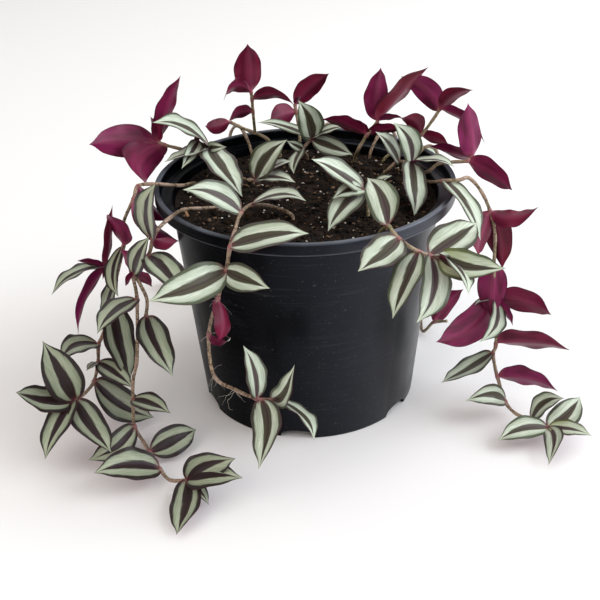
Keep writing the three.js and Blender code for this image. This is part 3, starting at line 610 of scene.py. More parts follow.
def finish_material(tree, inputs, relief=None):
    """The shader and the output of a material. A relief is what its height follows, how strong it
    is, and how deep it is in mm."""
    if relief:
        height, strength, depth = relief
        bump = add(tree, "ShaderNodeBump", {
            "Height": height, "Strength": strength, "Distance": depth * MM,
        })
        inputs["Normal"] = bump.outputs[0]
    shader = add(tree, "ShaderNodeBsdfPrincipled", inputs)
    add(tree, "ShaderNodeOutputMaterial", {"Surface": shader.outputs[0]})


def lay_coats(tree, colour, coats):
    """A colour with coats laid over it in turn. Each row is a coat's colour and its share, or its
    colour, what its share follows, from where to where on that, and its share at each of the two."""
    for coat, share, *course in coats:
        if course:
            share = add(tree, "ShaderNodeMapRange", dict(enumerate([share, *course]))).outputs[0]
        coat = linear(coat) if isinstance(coat, str) else coat
        colour = add(tree, "ShaderNodeMix", {0: share, 6: colour, 7: coat}, data_type="RGBA").outputs[2]
    return colour


def mottled(tree, size, detail):
    """Noise that fills the piece, with blotches of about a size in mm."""
    place = add(tree, "ShaderNodeTexCoord").outputs["Object"]
    return add(tree, "ShaderNodeTexNoise", {
        "Vector": place, "Scale": 1 / (size * MM), "Detail": detail,
    }).outputs["Fac"]


def blade_places(tree):
    """Where a point lies on a leaf: off its midrib, along it, and in mm for the grain. The leaf's
    own chances and whether it is young come last."""
    place = add(tree, "ShaderNodeUVMap", uv_map="blade").outputs[0]
    across, along, _ = add(tree, "ShaderNodeSeparateXYZ", {0: place}).outputs
    side = add(tree, "ShaderNodeMath", {0: across, 1: 2.0, 2: -1.0}, operation="MULTIPLY_ADD")
    off = add(tree, "ShaderNodeMath", {0: side.outputs[0]}, operation="ABSOLUTE").outputs[0]
    grain = add(tree, "ShaderNodeAttribute", attribute_name="grain").outputs["Vector"]
    tone = add(tree, "ShaderNodeAttribute", attribute_name="tone").outputs["Vector"]
    return off, along, grain, add(tree, "ShaderNodeSeparateXYZ", {0: tone}).outputs


def streaks(tree, grain, width, length, detail=2.0):
    """Noise drawn out along the leaf, width and length in mm."""
    stretched = add(tree, "ShaderNodeMapping", {"Vector": grain, "Scale": (1 / width, 1 / length, 1)})
    return add(tree, "ShaderNodeTexNoise", {
        "Vector": stretched.outputs[0], "Scale": 1.0, "Detail": detail, "Roughness": 0.6,
    }).outputs["Fac"]


def upper_face_material():
    """Tradescantia leaf, upper face: a waxy skin over two bands of air-filled cells. The bands give
    the silver, the green and purple tissue between and beside them gives the dark stripes."""
    material, tree = new_material("zebrina leaf upper face")
    off, along, grain, tone = blade_places(tree)
    painted_shade = add(tree, "ShaderNodeAttribute", attribute_name="painted_shade").outputs["Fac"]
    broad = streaks(tree, grain, STREAK_WIDTH * 3, STREAK_LENGTH)
    fine = streaks(tree, grain, STREAK_WIDTH, STREAK_LENGTH * 0.7, 3.0)
    # The edges between the stripes waver with the streaks, and the centre's differs from leaf to leaf
    wobble, centre_shift = (
        add(tree, "ShaderNodeMath", {0: source, 1: span, 2: -span / 2}, operation="MULTIPLY_ADD").outputs[0]
        for source, span in ((broad, EDGE_WOBBLE), (tone[0], CENTRE_SPREAD))
    )
    rough_off = add(tree, "ShaderNodeMath", {0: off, 1: wobble}, operation="ADD").outputs[0]
    # Painted shade narrows the silver on the shoots that lie in shade
    shaded_off = add(tree, "ShaderNodeMath", {
        0: painted_shade, 1: SHADE_SHIFT, 2: rough_off,
    }, operation="MULTIPLY_ADD").outputs[0]
    bands = []
    for place, edge_line, shift, (start, end) in (
        (rough_off, CENTRE_HALF_WIDTH, centre_shift, CENTRE_BLUR),
        (shaded_off, SILVER_REACH, 0.0, SILVER_BLUR),
    ):
        edge = add(tree, "ShaderNodeFloatCurve", {1: along})
        shape_curve(edge, edge_line)
        edge = add(tree, "ShaderNodeMath", {0: edge.outputs[0], 1: shift}, operation="ADD")
        past = add(tree, "ShaderNodeMath", {0: place, 1: edge.outputs[0]}, operation="SUBTRACT").outputs[0]
        share = add(tree, "ShaderNodeMapRange", {
            0: past, 1: start, 2: end,
        }, interpolation_type="SMOOTHSTEP").outputs[0]
        bands.append((past, share))
    (_, silver_in), (past_silver, margin_in) = bands

    # A young leaf is yellow-green, most near its base, and a leaf's tip is pale, less so where the leaf
    # has painted shade
    fresh = add(tree, "ShaderNodeMapRange", {0: along, 1: 0.1, 2: 0.6, 3: 0.38, 4: 0.06}).outputs[0]
    fresh = add(tree, "ShaderNodeMath", {0: tone[2], 1: fresh}, operation="MULTIPLY").outputs[0]
    tip = add(tree, "ShaderNodeMapRange", {0: along, 1: 0.88, 2: 0.99, 3: 0.0, 4: 0.8}).outputs[0]
    bright = add(tree, "ShaderNodeMath", {0: 1.0, 1: painted_shade}, operation="SUBTRACT").outputs[0]
    tip = add(tree, "ShaderNodeMath", {0: tip, 1: bright}, operation="MULTIPLY").outputs[0]

    silver = lay_coats(tree, linear("#adb9a4"), [("#dfe7d8", fine, 0.3, 0.7, 0, 1)])
    # Painted shade darkens the silver, and below also the middle and the margin, on shoots that lie in
    # shade
    silver = add(tree, "ShaderNodeMix", {
        0: painted_shade, 6: silver, 7: linear("#c9c8b9"),
    }, data_type="RGBA", blend_type="MULTIPLY").outputs[2]
    silver = lay_coats(tree, silver, [
        ("#6f7d62", past_silver, -0.35, 0, 0, 0.5),
        ("#b3bf6c", fresh),
    ])
    toward_edge = add(tree, "ShaderNodeMath", {
        0: off, 1: OLIVE_LEAN, 2: tone[0],
    }, operation="MULTIPLY_ADD").outputs[0]
    toward_edge = add(tree, "ShaderNodeMath", {0: along, 1: toward_edge}, operation="ADD").outputs[0]
    middle = lay_coats(tree, linear("#604c54"), [
        ("#484633", toward_edge, 0.3, 1.4, 0, 1),
        ("#2b1119", off, 0, 0.09, 0.75, 0),
        ("#240d14", painted_shade),
    ])
    margin = lay_coats(tree, linear("#515d43"), [
        ("#474239", tone[1]),
        ("#221015", painted_shade),
        ("#8c9a4e", fresh),
        ("#2a151b", off, 0.93, 1, 0, 0.7),
    ])
    colour = lay_coats(tree, middle, [
        (silver, silver_in),
        (margin, margin_in),
        ("#70393f", along, 0.02, 0.1, 0.7, 0),
        ("#b9c4ab", tip),
    ])
    finish_material(tree, {
        "Base Color": colour, "Roughness": 0.42, "IOR": 1.42, "Specular IOR Level": 0.45,
        "Sheen Weight": 0.08, "Sheen Roughness": 0.5,
    }, (fine, 0.5, 0.25))
    return material


def underside_material():
    """Tradescantia leaf, underside: smooth purple tissue with raised veins, which give the eye a
    satin shine with paler lengthwise lines. A paler band along the midrib is a painted sheen."""
    material, tree = new_material("zebrina leaf underside")
    off, along, grain, tone = blade_places(tree)
    broad = streaks(tree, grain, STREAK_WIDTH * 10, STREAK_LENGTH * 1.5)
    fine = streaks(tree, grain, STREAK_WIDTH * 1.2, STREAK_LENGTH * 2, 1.0)
    colour = lay_coats(tree, linear("#7d1d52"), [
        ("#6c1429", tone[1]),
        ("#430a20", broad, 0.35, 0.6, 0.75, 0),
        ("#92405c", fine, 0.5, 0.75, 0, 0.12),
        # Painted sheen: a paler band along the midrib
        ("#a04a68", off, 0.03, 0.4, 0.3, 0),
        ("#4a0f26", off, 0, 0.04, 0.5, 0),
        ("#2e0a18", off, 0.9, 1, 0, 0.6),
        ("#a8566a", along, 0, 0.14, 0.6, 0),
    ])
    finish_material(tree, {
        "Base Color": colour, "Roughness": 0.4, "IOR": 1.42, "Specular IOR Level": 0.28,
        "Sheen Weight": 0.04, "Sheen Roughness": 0.4, "Sheen Tint": linear("#e0a0c0"),
    }, (fine, 0.4, 0.3))
    return material


def stem_material():
    """Tradescantia stem: a juicy rod with a thin skin, which gives the eye a tan or olive satin,
    pink at the joints."""
    material, tree = new_material("zebrina stem skin")
    tone = add(tree, "ShaderNodeAttribute", attribute_name="tone").outputs["Vector"]
    olive, ring, sheath = add(tree, "ShaderNodeSeparateXYZ", {0: tone}).outputs
    mottle = mottled(tree, BLOTCH_SIZE, 3.0)
    brown, green = (
        lay_coats(tree, linear(dark), [(light, mottle, 0.4, 0.6, 0, 1)])
        for dark, light in (("#4c392c", "#a58c77"), ("#635c3a", "#a29c72"))
    )
    colour = lay_coats(tree, brown, [
        (green, olive),
        ("#a98f80", sheath, 0, 1, 0, 0.5),
        ("#96485a", ring, 0, 1, 0, 0.75),
    ])
    finish_material(tree, {"Base Color": colour, "Roughness": 0.4, "IOR": 1.4}, (mottle, 0.3, 0.2))
    return material


def pot_material():
    """Polypropylene, injection moulded in black: a satin skin, with dust and fine scuffs that lie
    round the pot. A painted highlight lies light grey on the rim's edges, and the shine holds painted
    highlight and shade: stronger to the right and on the rim's right, where the light comes from, and
    weaker on faces turned inward."""
    material, tree = new_material("black moulded polypropylene")
    wall = add(tree, "ShaderNodeAttribute", attribute_name="wall").outputs["Vector"]
    _, height, radius = add(tree, "ShaderNodeSeparateXYZ", {0: wall}).outputs
    place = add(tree, "ShaderNodeTexCoord").outputs["Object"]
    across = add(tree, "ShaderNodeSeparateXYZ", {0: place}).outputs[0]
    specks = mottled(tree, SPECK_SIZE, 2.0)
    clouds = mottled(tree, CLOUD_SIZE, 4.0)
    lengthwise = add(tree, "ShaderNodeMapping", {
        "Vector": wall, "Scale": (1 / SCUFF_LENGTH, 1 / SCUFF_WIDTH, 1),
    })
    scuffs = add(tree, "ShaderNodeTexNoise", {
        "Vector": lengthwise.outputs[0], "Scale": 1.0, "Detail": 3.0,
    }).outputs["Fac"]
    normal = add(tree, "ShaderNodeNewGeometry").outputs["Normal"]
    outward = add(tree, "ShaderNodeVectorMath", {0: place, 1: (1.0, 1.0, 0.0)}, operation="MULTIPLY")
    facing = add(tree, "ShaderNodeVectorMath", {
        0: outward.outputs[0], 1: normal,
    }, operation="DOT_PRODUCT").outputs["Value"]

    # Each share is what it follows, from where to where on that, and the share at each of the two
    share = {}
    for name, *course in (
        ("dusty", clouds, 0.4, 0.7, 0, 1),
        ("scuffed", scuffs, 0.58, 0.7, 0, 1),
        ("patchy", clouds, 0.35, 0.65, 0.15, 0.6),
        ("outside", radius, RIM_RADIUS - 2 * RIM_WALL, RIM_RADIUS - RIM_WALL, 0, 1),
        # Painted highlight: the shine grows toward the right and on the rim's right, where the light comes
        # from
        ("painted_shine", across, -45 * MM, 45 * MM, 0.03, 0.36),
        ("painted_rim_shine", across, 10 * MM, 50 * MM, 0, 0.4),
        # Painted shade: the shine falls to a tenth on faces turned inward, in the pot's hollow
        ("outer", facing, -40 * MM, -10 * MM, 0.1, 1),
        ("rough", clouds, 0.4, 0.7, 0.3, 0.42),
    ):
        share[name] = add(tree, "ShaderNodeMapRange", dict(enumerate(course))).outputs[0]
    # Painted highlight: light grey lines along the rim's top edge and its lower edge, outside only and
    # patchy
    edges = []
    for level in (POT_HEIGHT, POT_HEIGHT - RIM_HEIGHT):
        gap = add(tree, "ShaderNodeMath", {0: height, 1: level}, operation="SUBTRACT")
        gap = add(tree, "ShaderNodeMath", {0: gap.outputs[0]}, operation="ABSOLUTE")
        edge = add(tree, "ShaderNodeMapRange", {
            0: gap.outputs[0], 1: EDGE_HIGHLIGHT_START, 2: EDGE_HIGHLIGHT_END, 3: 1.0, 4: 0.0,
        })
        edges.append(edge.outputs[0])
    rim_edge_highlight = add(tree, "ShaderNodeMath", {0: edges[0], 1: edges[1]}, operation="MAXIMUM").outputs[0]
    for factor in (share["outside"], share["patchy"]):
        rim_edge_highlight = add(tree, "ShaderNodeMath", {0: rim_edge_highlight, 1: factor}, operation="MULTIPLY").outputs[0]
    marks = add(tree, "ShaderNodeMath", {
        0: share["scuffed"], 1: share["dusty"],
    }, operation="MULTIPLY").outputs[0]
    rim = add(tree, "ShaderNodeMath", {
        0: height, 1: POT_HEIGHT - RIM_HEIGHT - 1,
    }, operation="GREATER_THAN").outputs[0]
    # Painted highlight and shade in the shine, by side, by rim and by the way a face turns
    painted_shine = add(tree, "ShaderNodeMath", {
        0: share["painted_rim_shine"], 1: rim, 2: share["painted_shine"],
    }, operation="MULTIPLY_ADD").outputs[0]
    painted_shine = add(tree, "ShaderNodeMath", {0: painted_shine, 1: share["outer"]}, operation="MULTIPLY").outputs[0]
    colour = lay_coats(tree, linear("#050608"), [
        ("#0b0c10", share["dusty"]),
        ("#5c5c60", marks, 0, 1, 0, 0.16),
        ("#7a7876", specks, 0.66, 0.74, 0, 0.16),
        # painted highlight on the rim's edges
        ("#71757f", rim_edge_highlight),
    ])
    finish_material(tree, {
        "Base Color": colour, "Roughness": share["rough"], "IOR": 1.49,
        "Specular IOR Level": painted_shine, "Specular Tint": linear("#dde5ff"),
    }, (scuffs, 0.15, 0.2))
    return material


def peat_material():
    """Moist peat: crumbled fibre, matt brown with near-black patches at random."""
    material, tree = new_material("moist peat")
    lumps = mottled(tree, PEAT_LUMP_SIZE, 5.0)
    fibre = mottled(tree, FIBRE_SIZE, 3.0)
    colour = lay_coats(tree, linear("#040302"), [
        ("#24180f", lumps, 0.4, 0.62, 0, 1),
        ("#6f5136", fibre, 0.6, 0.75, 0, 0.6),
    ])
    finish_material(tree, {
        "Base Color": colour, "Roughness": 0.95, "Specular IOR Level": 0.2,
    }, (fibre, 0.9, 1.0))
    return material


def grain_material(name, low, high, grain, roughness):
    """Loose grains of one stuff, between a darker and a lighter colour: their fine mottle gives
    the eye a rough, broken surface."""
    material, tree = new_material(name)
    mottle = mottled(tree, grain, 3.0)
    colour = lay_coats(tree, linear(low), [(high, mottle, 0.3, 0.7, 0, 1)])
    finish_material(tree, {"Base Color": colour, "Roughness": roughness}, (mottle, 0.6, 0.3))
    return material


def floor_material():
    """Matt white board: it gives the eye a plain pale ground with soft shadows."""
    material, tree = new_material("matt white board")
    finish_material(tree, {
        "Base Color": linear("#f1efee"), "Roughness": 0.9, "Specular IOR Level": 0.1,
    })
    return material


def shape_curve(node, points):
    """Gives a float curve node its points."""
    curve = node.mapping.curves[0]
    for place, value in points[1:-1]:
        curve.points.new(place, value)
    curve.points[0].location = points[0]
    curve.points[-1].location = points[-1]
    node.mapping.update()


def mesh_piece(name, points, faces, materials, edges=()):
    """A mesh object at the origin, from points in mm."""
    mesh = bpy.data.meshes.new(name)
    mesh.from_pydata((np.asarray(points) * MM).tolist(), list(edges), faces)
    for material in materials:
        mesh.materials.append(material)
    piece = bpy.data.objects.new(name, mesh)
    bpy.context.scene.collection.objects.link(piece)
    return piece


def set_attribute(mesh, name, kind, values):
    """Gives each point of a mesh a value or a vector."""
    attribute = mesh.attributes.new(name, kind, "POINT")
    field = "vector" if kind == "FLOAT_VECTOR" else "value"
    attribute.data.foreach_set(field, np.asarray(values, np.float32).ravel())


def half_width(along):
    """Half of a leaf's width at a share of its length, as a share of its widest."""
    before = np.sqrt(np.clip(1 - ((WIDEST_AT - along) / WIDEST_AT) ** 2, 0, 1))
    after = np.clip(1 - np.clip((along - WIDEST_AT) / (1 - WIDEST_AT), 0, 1) ** FULLNESS, 0, 1)
    drawn_out = 1 - POINT_DRAW * smooth_step(POINT_START, 1, along)
    return np.where(along < WIDEST_AT, before, after * drawn_out)


def leaf_points(leaf, draw):
    """The points of a leaf's two faces, and where each lies on the blade. Rows of points lie
    closer together toward both of its ends."""
    even = np.linspace(0, 1, ALONG + 1)
    along = 0.5 * even + 0.25 * (1 - np.cos(math.pi * even))
    part, off = np.meshgrid(along, np.linspace(-1, 1, ACROSS + 1), indexing="ij")
    size = leaf.length * leaf.ratio / 2
    neck = NECK_HALF_WIDTH * (1 - smooth_step(*NECK_REACH, along)) + TIP_HALF_WIDTH
    half = np.maximum(half_width(along) * size, neck)[:, None]
    chance, phase_left, phase_right, waves = draw.uniform(-1, 1, 4)
    fold = np.radians(leaf.fold + NECK_FOLD * np.exp(-along / NECK_FOLD_REACH))[:, None]
    crease = (np.sqrt(off ** 2 + CREASE_SOFTNESS) - CREASE_DROP) / CREASE_SPAN
    rise = half * np.sin(fold) * crease
    droop = -EDGE_DROOP * half * np.abs(off) ** 4
    phase = np.where(off < 0, phase_left, phase_right) * math.pi
    count = WAVES + WAVES_SPREAD * waves
    wave = WAVE_HEIGHT * half * np.sin(2 * math.pi * count * part + phase) * np.abs(off) ** 2.5
    wave = wave * np.sin(math.pi * part) ** 0.7
    hook = -TIP_HOOK * leaf.length * smooth_step(HOOK_START, 1, part) ** 1.5
    curve = leaf.arch * leaf.length * 4 * part * (1 - part)
    sway = (leaf.bend + SIDE_SWAY * chance * part) * leaf.length * 4 * part * (1 - part)
    height = curve + rise + droop + wave + hook
    thick = BLADE_THICKNESS * (1 - THINNING * np.abs(off) ** 3)
    thick = thick * (1 - THINNING * smooth_step(THIN_FROM, 1, part))
    reach = leaf.length * part
    spread = off * half * np.cos(fold) + sway
    sideways = np.cross(leaf.upper, leaf.axis)
    layers = []
    for skin in (0.5, -0.5):
        place = leaf.base + reach[..., None] * leaf.axis + spread[..., None] * sideways
        place = place + (height + skin * thick)[..., None] * leaf.upper
        layers.append(place.reshape(-1, 3))
    blade = np.stack([(off.ravel() + 1) / 2, part.ravel()], axis=1)
    grain = np.stack([(off * half).ravel(), reach.ravel(), np.zeros(part.size)], axis=1)
    return np.concatenate(layers), np.tile(blade, (2, 1)), np.tile(grain, (2, 1))


def leaf_faces():
    """The faces of one leaf as rows of four point numbers, upper face first."""
    rows, columns = ALONG + 1, ACROSS + 1
    top = np.arange(rows * columns).reshape(rows, columns)
    low = top + rows * columns
    upper = np.stack([top[:-1, :-1], top[1:, :-1], top[1:, 1:], top[:-1, 1:]], axis=-1).reshape(-1, 4)
    under = np.stack([low[:-1, :-1], low[:-1, 1:], low[1:, 1:], low[1:, :-1]], axis=-1).reshape(-1, 4)
    loop = np.concatenate([top[0, :-1], top[:-1, -1], top[-1, :0:-1], top[:0:-1, 0]])
    ahead = np.roll(loop, -1)
    drop = rows * columns
    rim = np.stack([loop, ahead, ahead + drop, loop + drop], axis=-1)
    return upper, np.concatenate([under, rim])


def leaf_piece(name, leaves, materials, first_seed, painted_shade):
    """All leaves of a shoot as one piece."""
    upper, other = leaf_faces()
    one = np.concatenate([upper, other])
    points, blades, grains, tones, faces = [], [], [], [], []
    for index, leaf in enumerate(leaves):
        draw = np.random.default_rng([LEAF_SEED, first_seed, index])
        place, blade, grain = leaf_points(leaf, draw)
        grain[:, 2] = STREAK_SLICES * draw.random()
        tone = np.array([draw.random(), draw.random(), leaf.young])
        faces.append(one + index * len(place))
        points.append(place)
        blades.append(blade)
        grains.append(grain)
        tones.append(np.tile(tone, (len(place), 1)))
    piece = mesh_piece(name, np.concatenate(points), np.concatenate(faces).tolist(), materials)
    mesh = piece.data
    set_attribute(mesh, "grain", "FLOAT_VECTOR", np.concatenate(grains))
    set_attribute(mesh, "tone", "FLOAT_VECTOR", np.concatenate(tones))
    set_attribute(mesh, "painted_shade", "FLOAT", np.full(len(mesh.vertices), painted_shade))
    corner = np.empty(len(mesh.loops), np.int32)
    mesh.loops.foreach_get("vertex_index", corner)
    layer = mesh.uv_layers.new(name="blade")
    layer.data.foreach_set("uv", np.concatenate(blades)[corner].astype(np.float32).ravel())
    side = np.tile(np.repeat([0, 1], [len(upper), len(other)]), len(leaves))
    mesh.polygons.foreach_set("material_index", side.astype(np.int32))
    mesh.shade_smooth()
    mesh.set_sharp_from_angle(angle=LEAF_SHARP)
    return piece


def smooth_path(joints):
    """Points along the smooth curve through a stem's joints, with the joint before each point and
    the distances from the joint before and to the joint after."""
    ends = [2 * joints[0] - joints[1], *joints, 2 * joints[-1] - joints[-2]]
    points, before, from_last, to_next = [], [], [], []
    for index in range(len(joints) - 1):
        behind, start, end, beyond = ends[index:index + 4]
        gap = np.linalg.norm(end - start)
        steps = max(3, round(gap / STEM_STEP))
        for step in range(steps):
            share = step / steps
            cubic = 2 * start + (end - behind) * share
            cubic = cubic + (2 * behind - 5 * start + 4 * end - beyond) * share ** 2
            cubic = cubic + (-behind + 3 * start - 3 * end + beyond) * share ** 3
            points.append(cubic / 2)
            before.append(index)
            from_last.append(share * gap)
            to_next.append((1 - share) * gap)
    points.append(joints[-1])
    before.append(len(joints) - 1)
    from_last.append(0)
    to_next.append(gap)
    return np.array(points), np.array(before), np.array(from_last), np.array(to_next)


def new_tree(name, inputs, result):
    """An empty tree of geometry nodes with its named inputs, and the sockets that give them."""
    tree = bpy.data.node_groups.new(name, "GeometryNodeTree")
    for label, kind in inputs.items():
        tree.interface.new_socket(label, in_out="INPUT", socket_type="NodeSocket" + kind)
    tree.interface.new_socket(result, in_out="OUTPUT", socket_type="NodeSocketGeometry")
    return tree, add(tree, "NodeGroupInput").outputs


def sweep_tree():
    """Nodes that turn each path into a rod, with the path's own thickness at each point."""
    tree, given = new_tree("rod along a path", {
        "Paths": "Geometry", "Sides": "Int", "Skin": "Material",
    }, "Rods")
    paths = add(tree, "GeometryNodeMeshToCurve", {0: given["Paths"]})
    thickness = add(tree, "GeometryNodeInputNamedAttribute", {"Name": "thickness"}, data_type="FLOAT")
    section = add(tree, "GeometryNodeCurvePrimitiveCircle", {
        "Resolution": given["Sides"], "Radius": 1.0,
    })
    rods = add(tree, "GeometryNodeCurveToMesh", {
        "Curve": paths.outputs[0], "Profile Curve": section.outputs[0],
        "Scale": thickness.outputs[0], "Fill Caps": True,
    })
    rods = add(tree, "GeometryNodeSetShadeSmooth", {0: rods.outputs[0]})
    whole = add(tree, "GeometryNodeRealizeInstances", {0: rods.outputs[0]})
    skinned = add(tree, "GeometryNodeSetMaterial", {0: whole.outputs[0], "Material": given["Skin"]})
    add(tree, "NodeGroupOutput", {0: skinned.outputs[0]})
    return tree


def scatter_tree():
    """Nodes that strew grains over a surface and make each of them uneven."""
    tree, given = new_tree("grains on a surface", {
        "Surface": "Geometry", "Grains per square metre": "Float", "Smallest": "Float",
        "Largest": "Float", "Stretch": "Vector", "Unevenness": "Float", "Sink": "Float",
        "Roundness": "Int", "Seed": "Int", "Stuff": "Material",
    }, "Grains")
    points = add(tree, "GeometryNodeDistributePointsOnFaces", {
        "Mesh": given["Surface"], "Density": given["Grains per square metre"], "Seed": given["Seed"],
    })
    size = add(tree, "FunctionNodeRandomValue", {
        2: given["Smallest"], 3: given["Largest"], "Seed": given["Seed"],
    }, data_type="FLOAT").outputs[1]
    scale = add(tree, "ShaderNodeVectorMath", {0: given["Stretch"], "Scale": size}, operation="SCALE")
    turn = add(tree, "FunctionNodeRandomValue", {
        0: (-0.5, -0.5, 0.0), 1: (0.5, 0.5, 2 * math.pi), "Seed": given["Seed"],
    }, data_type="FLOAT_VECTOR")
    grain = add(tree, "GeometryNodeMeshIcoSphere", {"Radius": 1.0, "Subdivisions": given["Roundness"]})
    grains = add(tree, "GeometryNodeInstanceOnPoints", {
        "Points": points.outputs[0], "Instance": grain.outputs[0], "Rotation": turn.outputs[0],
        "Scale": scale.outputs[0],
    })
    whole = add(tree, "GeometryNodeRealizeInstances", {0: grains.outputs[0]})
    place = add(tree, "GeometryNodeInputPosition")
    noise_size = add(tree, "ShaderNodeMath", {0: LUMPS_A_GRAIN, 1: given["Largest"]}, operation="DIVIDE")
    lumps = add(tree, "ShaderNodeTexNoise", {
        "Vector": place.outputs[0], "Scale": noise_size.outputs[0], "Detail": 1.0,
    })
    centred = add(tree, "ShaderNodeVectorMath", {
        0: lumps.outputs["Color"], 1: (0.5, 0.5, 0.5),
    }, operation="SUBTRACT")
    push = add(tree, "ShaderNodeMath", {
        0: given["Unevenness"], 1: given["Largest"],
    }, operation="MULTIPLY")
    offset = add(tree, "ShaderNodeVectorMath", {
        0: centred.outputs[0], "Scale": push.outputs[0],
    }, operation="SCALE")
    sink = add(tree, "ShaderNodeCombineXYZ", {2: given["Sink"]})
    offset = add(tree, "ShaderNodeVectorMath", {0: offset.outputs[0], 1: sink.outputs[0]}, operation="ADD")
    uneven = add(tree, "GeometryNodeSetPosition", {0: whole.outputs[0], "Offset": offset.outputs[0]})
    stuff = add(tree, "GeometryNodeSetMaterial", {0: uneven.outputs[0], "Material": given["Stuff"]})
    add(tree, "NodeGroupOutput", {0: stuff.outputs[0]})
    return tree


def grow(piece, tree, values):
    """Replaces a piece's mesh with what a node tree makes of it."""
    modifier = piece.modifiers.new("growth", "NODES")
    modifier.node_group = tree
    for item in tree.interface.items_tree:
        if item.in_out == "INPUT" and item.name in values:
            modifier[item.identifier] = values[item.name]
    make_plain(piece)


def make_plain(piece):
    """Turns a piece and its modifiers into a plain mesh."""
    bpy.context.view_layer.update()
    evaluated = piece.evaluated_get(bpy.context.evaluated_depsgraph_get())
    mesh = bpy.data.meshes.new_from_object(evaluated)
    mesh.name = piece.name
    piece.modifiers.clear()
    piece.data = mesh


def stem_piece(name, axes, olive, tree, skin):
    """The stems of a shoot: slim rods, swollen at the joints, with a leaf's sheath round each
    stretch after a joint."""
    points, edges, thickness, tones = [], [], [], []
    for joints, leaves in axes:
        path, before, from_last, to_next = smooth_path(joints)
        leafy = np.array([any(np.allclose(leaf.base, joint) for leaf in leaves) for joint in joints])
        nearest = np.where(from_last <= to_next, before, np.minimum(before + 1, len(joints) - 1))
        ring = leafy[nearest] * np.exp(-(np.minimum(from_last, to_next) / RING_REACH) ** 2)
        sheath = 1 - smooth_step(SHEATH_LENGTH * SHEATH_FADE, SHEATH_LENGTH, from_last)
        sheath = sheath * (before >= len(ROOT_LEVELS))
        start = len(points)
        edges += [(index, index + 1) for index in range(start, start + len(path) - 1)]
        points += list(path)
        thickness += list(STEM_RADIUS * (1 + RING_SWELL * ring + SHEATH_SWELL * sheath))
        tones += list(np.stack([np.full(len(path), olive), ring, sheath], axis=1))
    piece = mesh_piece(name, points, [], [skin], edges)
    set_attribute(piece.data, "thickness", "FLOAT", np.array(thickness) * MM)
    set_attribute(piece.data, "tone", "FLOAT_VECTOR", tones)
    grow(piece, tree, {"Sides": STEM_SIDES, "Skin": skin})
    return piece


def root_piece(name, joints, tree, skin):
    """Fine roots that hang out of a stem's joints."""
    draw = np.random.default_rng(ROOT_SEED)
    points, edges, thickness = [], [], []
    for joint in joints:
        out = unit(np.array([joint[0], joint[1], 0]))
        for _ in range(ROOTS_A_JOINT):
            place = joint.copy()
            heading = out * draw.uniform(0, ROOT_SPREAD) + draw.normal(0, ROOT_SPREAD, 3)
            heading = unit(heading - np.array([0, 0, ROOT_FALL]))
            length = draw.uniform(*ROOT_LENGTH)
            steps = round(length / ROOT_STEP)
            for step in range(steps + 1):
                if step:
                    edges.append((len(points) - 1, len(points)))
                points.append(place.copy())
                thickness.append(ROOT_RADIUS * (1 - ROOT_THINNING * step / steps))
                heading = unit(heading + draw.normal(0, ROOT_WANDER, 3) - np.array([0, 0, ROOT_DROOP]))
                place = place + heading * ROOT_STEP
                reach = math.hypot(place[0], place[1])
                wall = outer_radius(place[2]) + ROOT_RADIUS
                if reach < wall:
                    place[:2] *= wall / reach
    piece = mesh_piece(name, points, [], [skin], edges)
    set_attribute(piece.data, "thickness", "FLOAT", np.array(thickness) * MM)
    grow(piece, tree, {"Sides": ROOT_SIDES, "Skin": skin})
    return piece


def outer_radius(height):
    """The outer radius of the pot at a height."""
    if height > POT_HEIGHT - RIM_HEIGHT - 2:
        return RIM_RADIUS
    return FOOT_RADIUS + height / SOIL_TOP * (NECK_RADIUS - FOOT_RADIUS)


def inner_radius(height):
    """The inner radius of the pot's wall at a height."""
    share = (height - FLOOR) / (SOIL_TOP - FLOOR)
    return FOOT_RADIUS - WALL + share * (NECK_RADIUS - FOOT_RADIUS)


def rounded(corners):
    """An outline of radius and height whose corners are rounded, each from its own distance off."""
    points = []
    count = len(corners)
    for index, (radius, height, distance) in enumerate(corners):
        here = np.array([radius, height], float)
        if not distance or index in (0, count - 1):
            points.append(here)
            continue
        back = unit(np.array(corners[index - 1][:2]) - here) * distance
        forth = unit(np.array(corners[index + 1][:2]) - here) * distance
        for share in np.linspace(0, 1, CORNER_STEPS + 1):
            points.append(here + back * (1 - share) ** 2 + forth * share ** 2)
    return points


def turned(name, outline, sides, materials):
    """A round piece from its outline, which starts and ends on the axis."""
    angles = np.linspace(0, 2 * math.pi, sides, endpoint=False)
    ring = np.stack([np.cos(angles), np.sin(angles)], axis=1)
    points = [[0, 0, outline[0][1]]]
    for radius, height in outline[1:-1]:
        points += [[*(ring_point * radius), height] for ring_point in ring]
    points.append([0, 0, outline[-1][1]])
    rings = len(outline) - 2
    index = 1 + np.arange(rings * sides).reshape(rings, sides)
    after = np.roll(index, -1, axis=1)
    quads = np.stack([index[:-1], after[:-1], after[1:], index[1:]], axis=-1).reshape(-1, 4)
    faces = quads.tolist()
    faces += [[0, int(after[0, side]), int(index[0, side])] for side in range(sides)]
    last = len(points) - 1
    faces += [[last, int(index[-1, side]), int(after[-1, side])] for side in range(sides)]
    return mesh_piece(name, points, faces, materials)


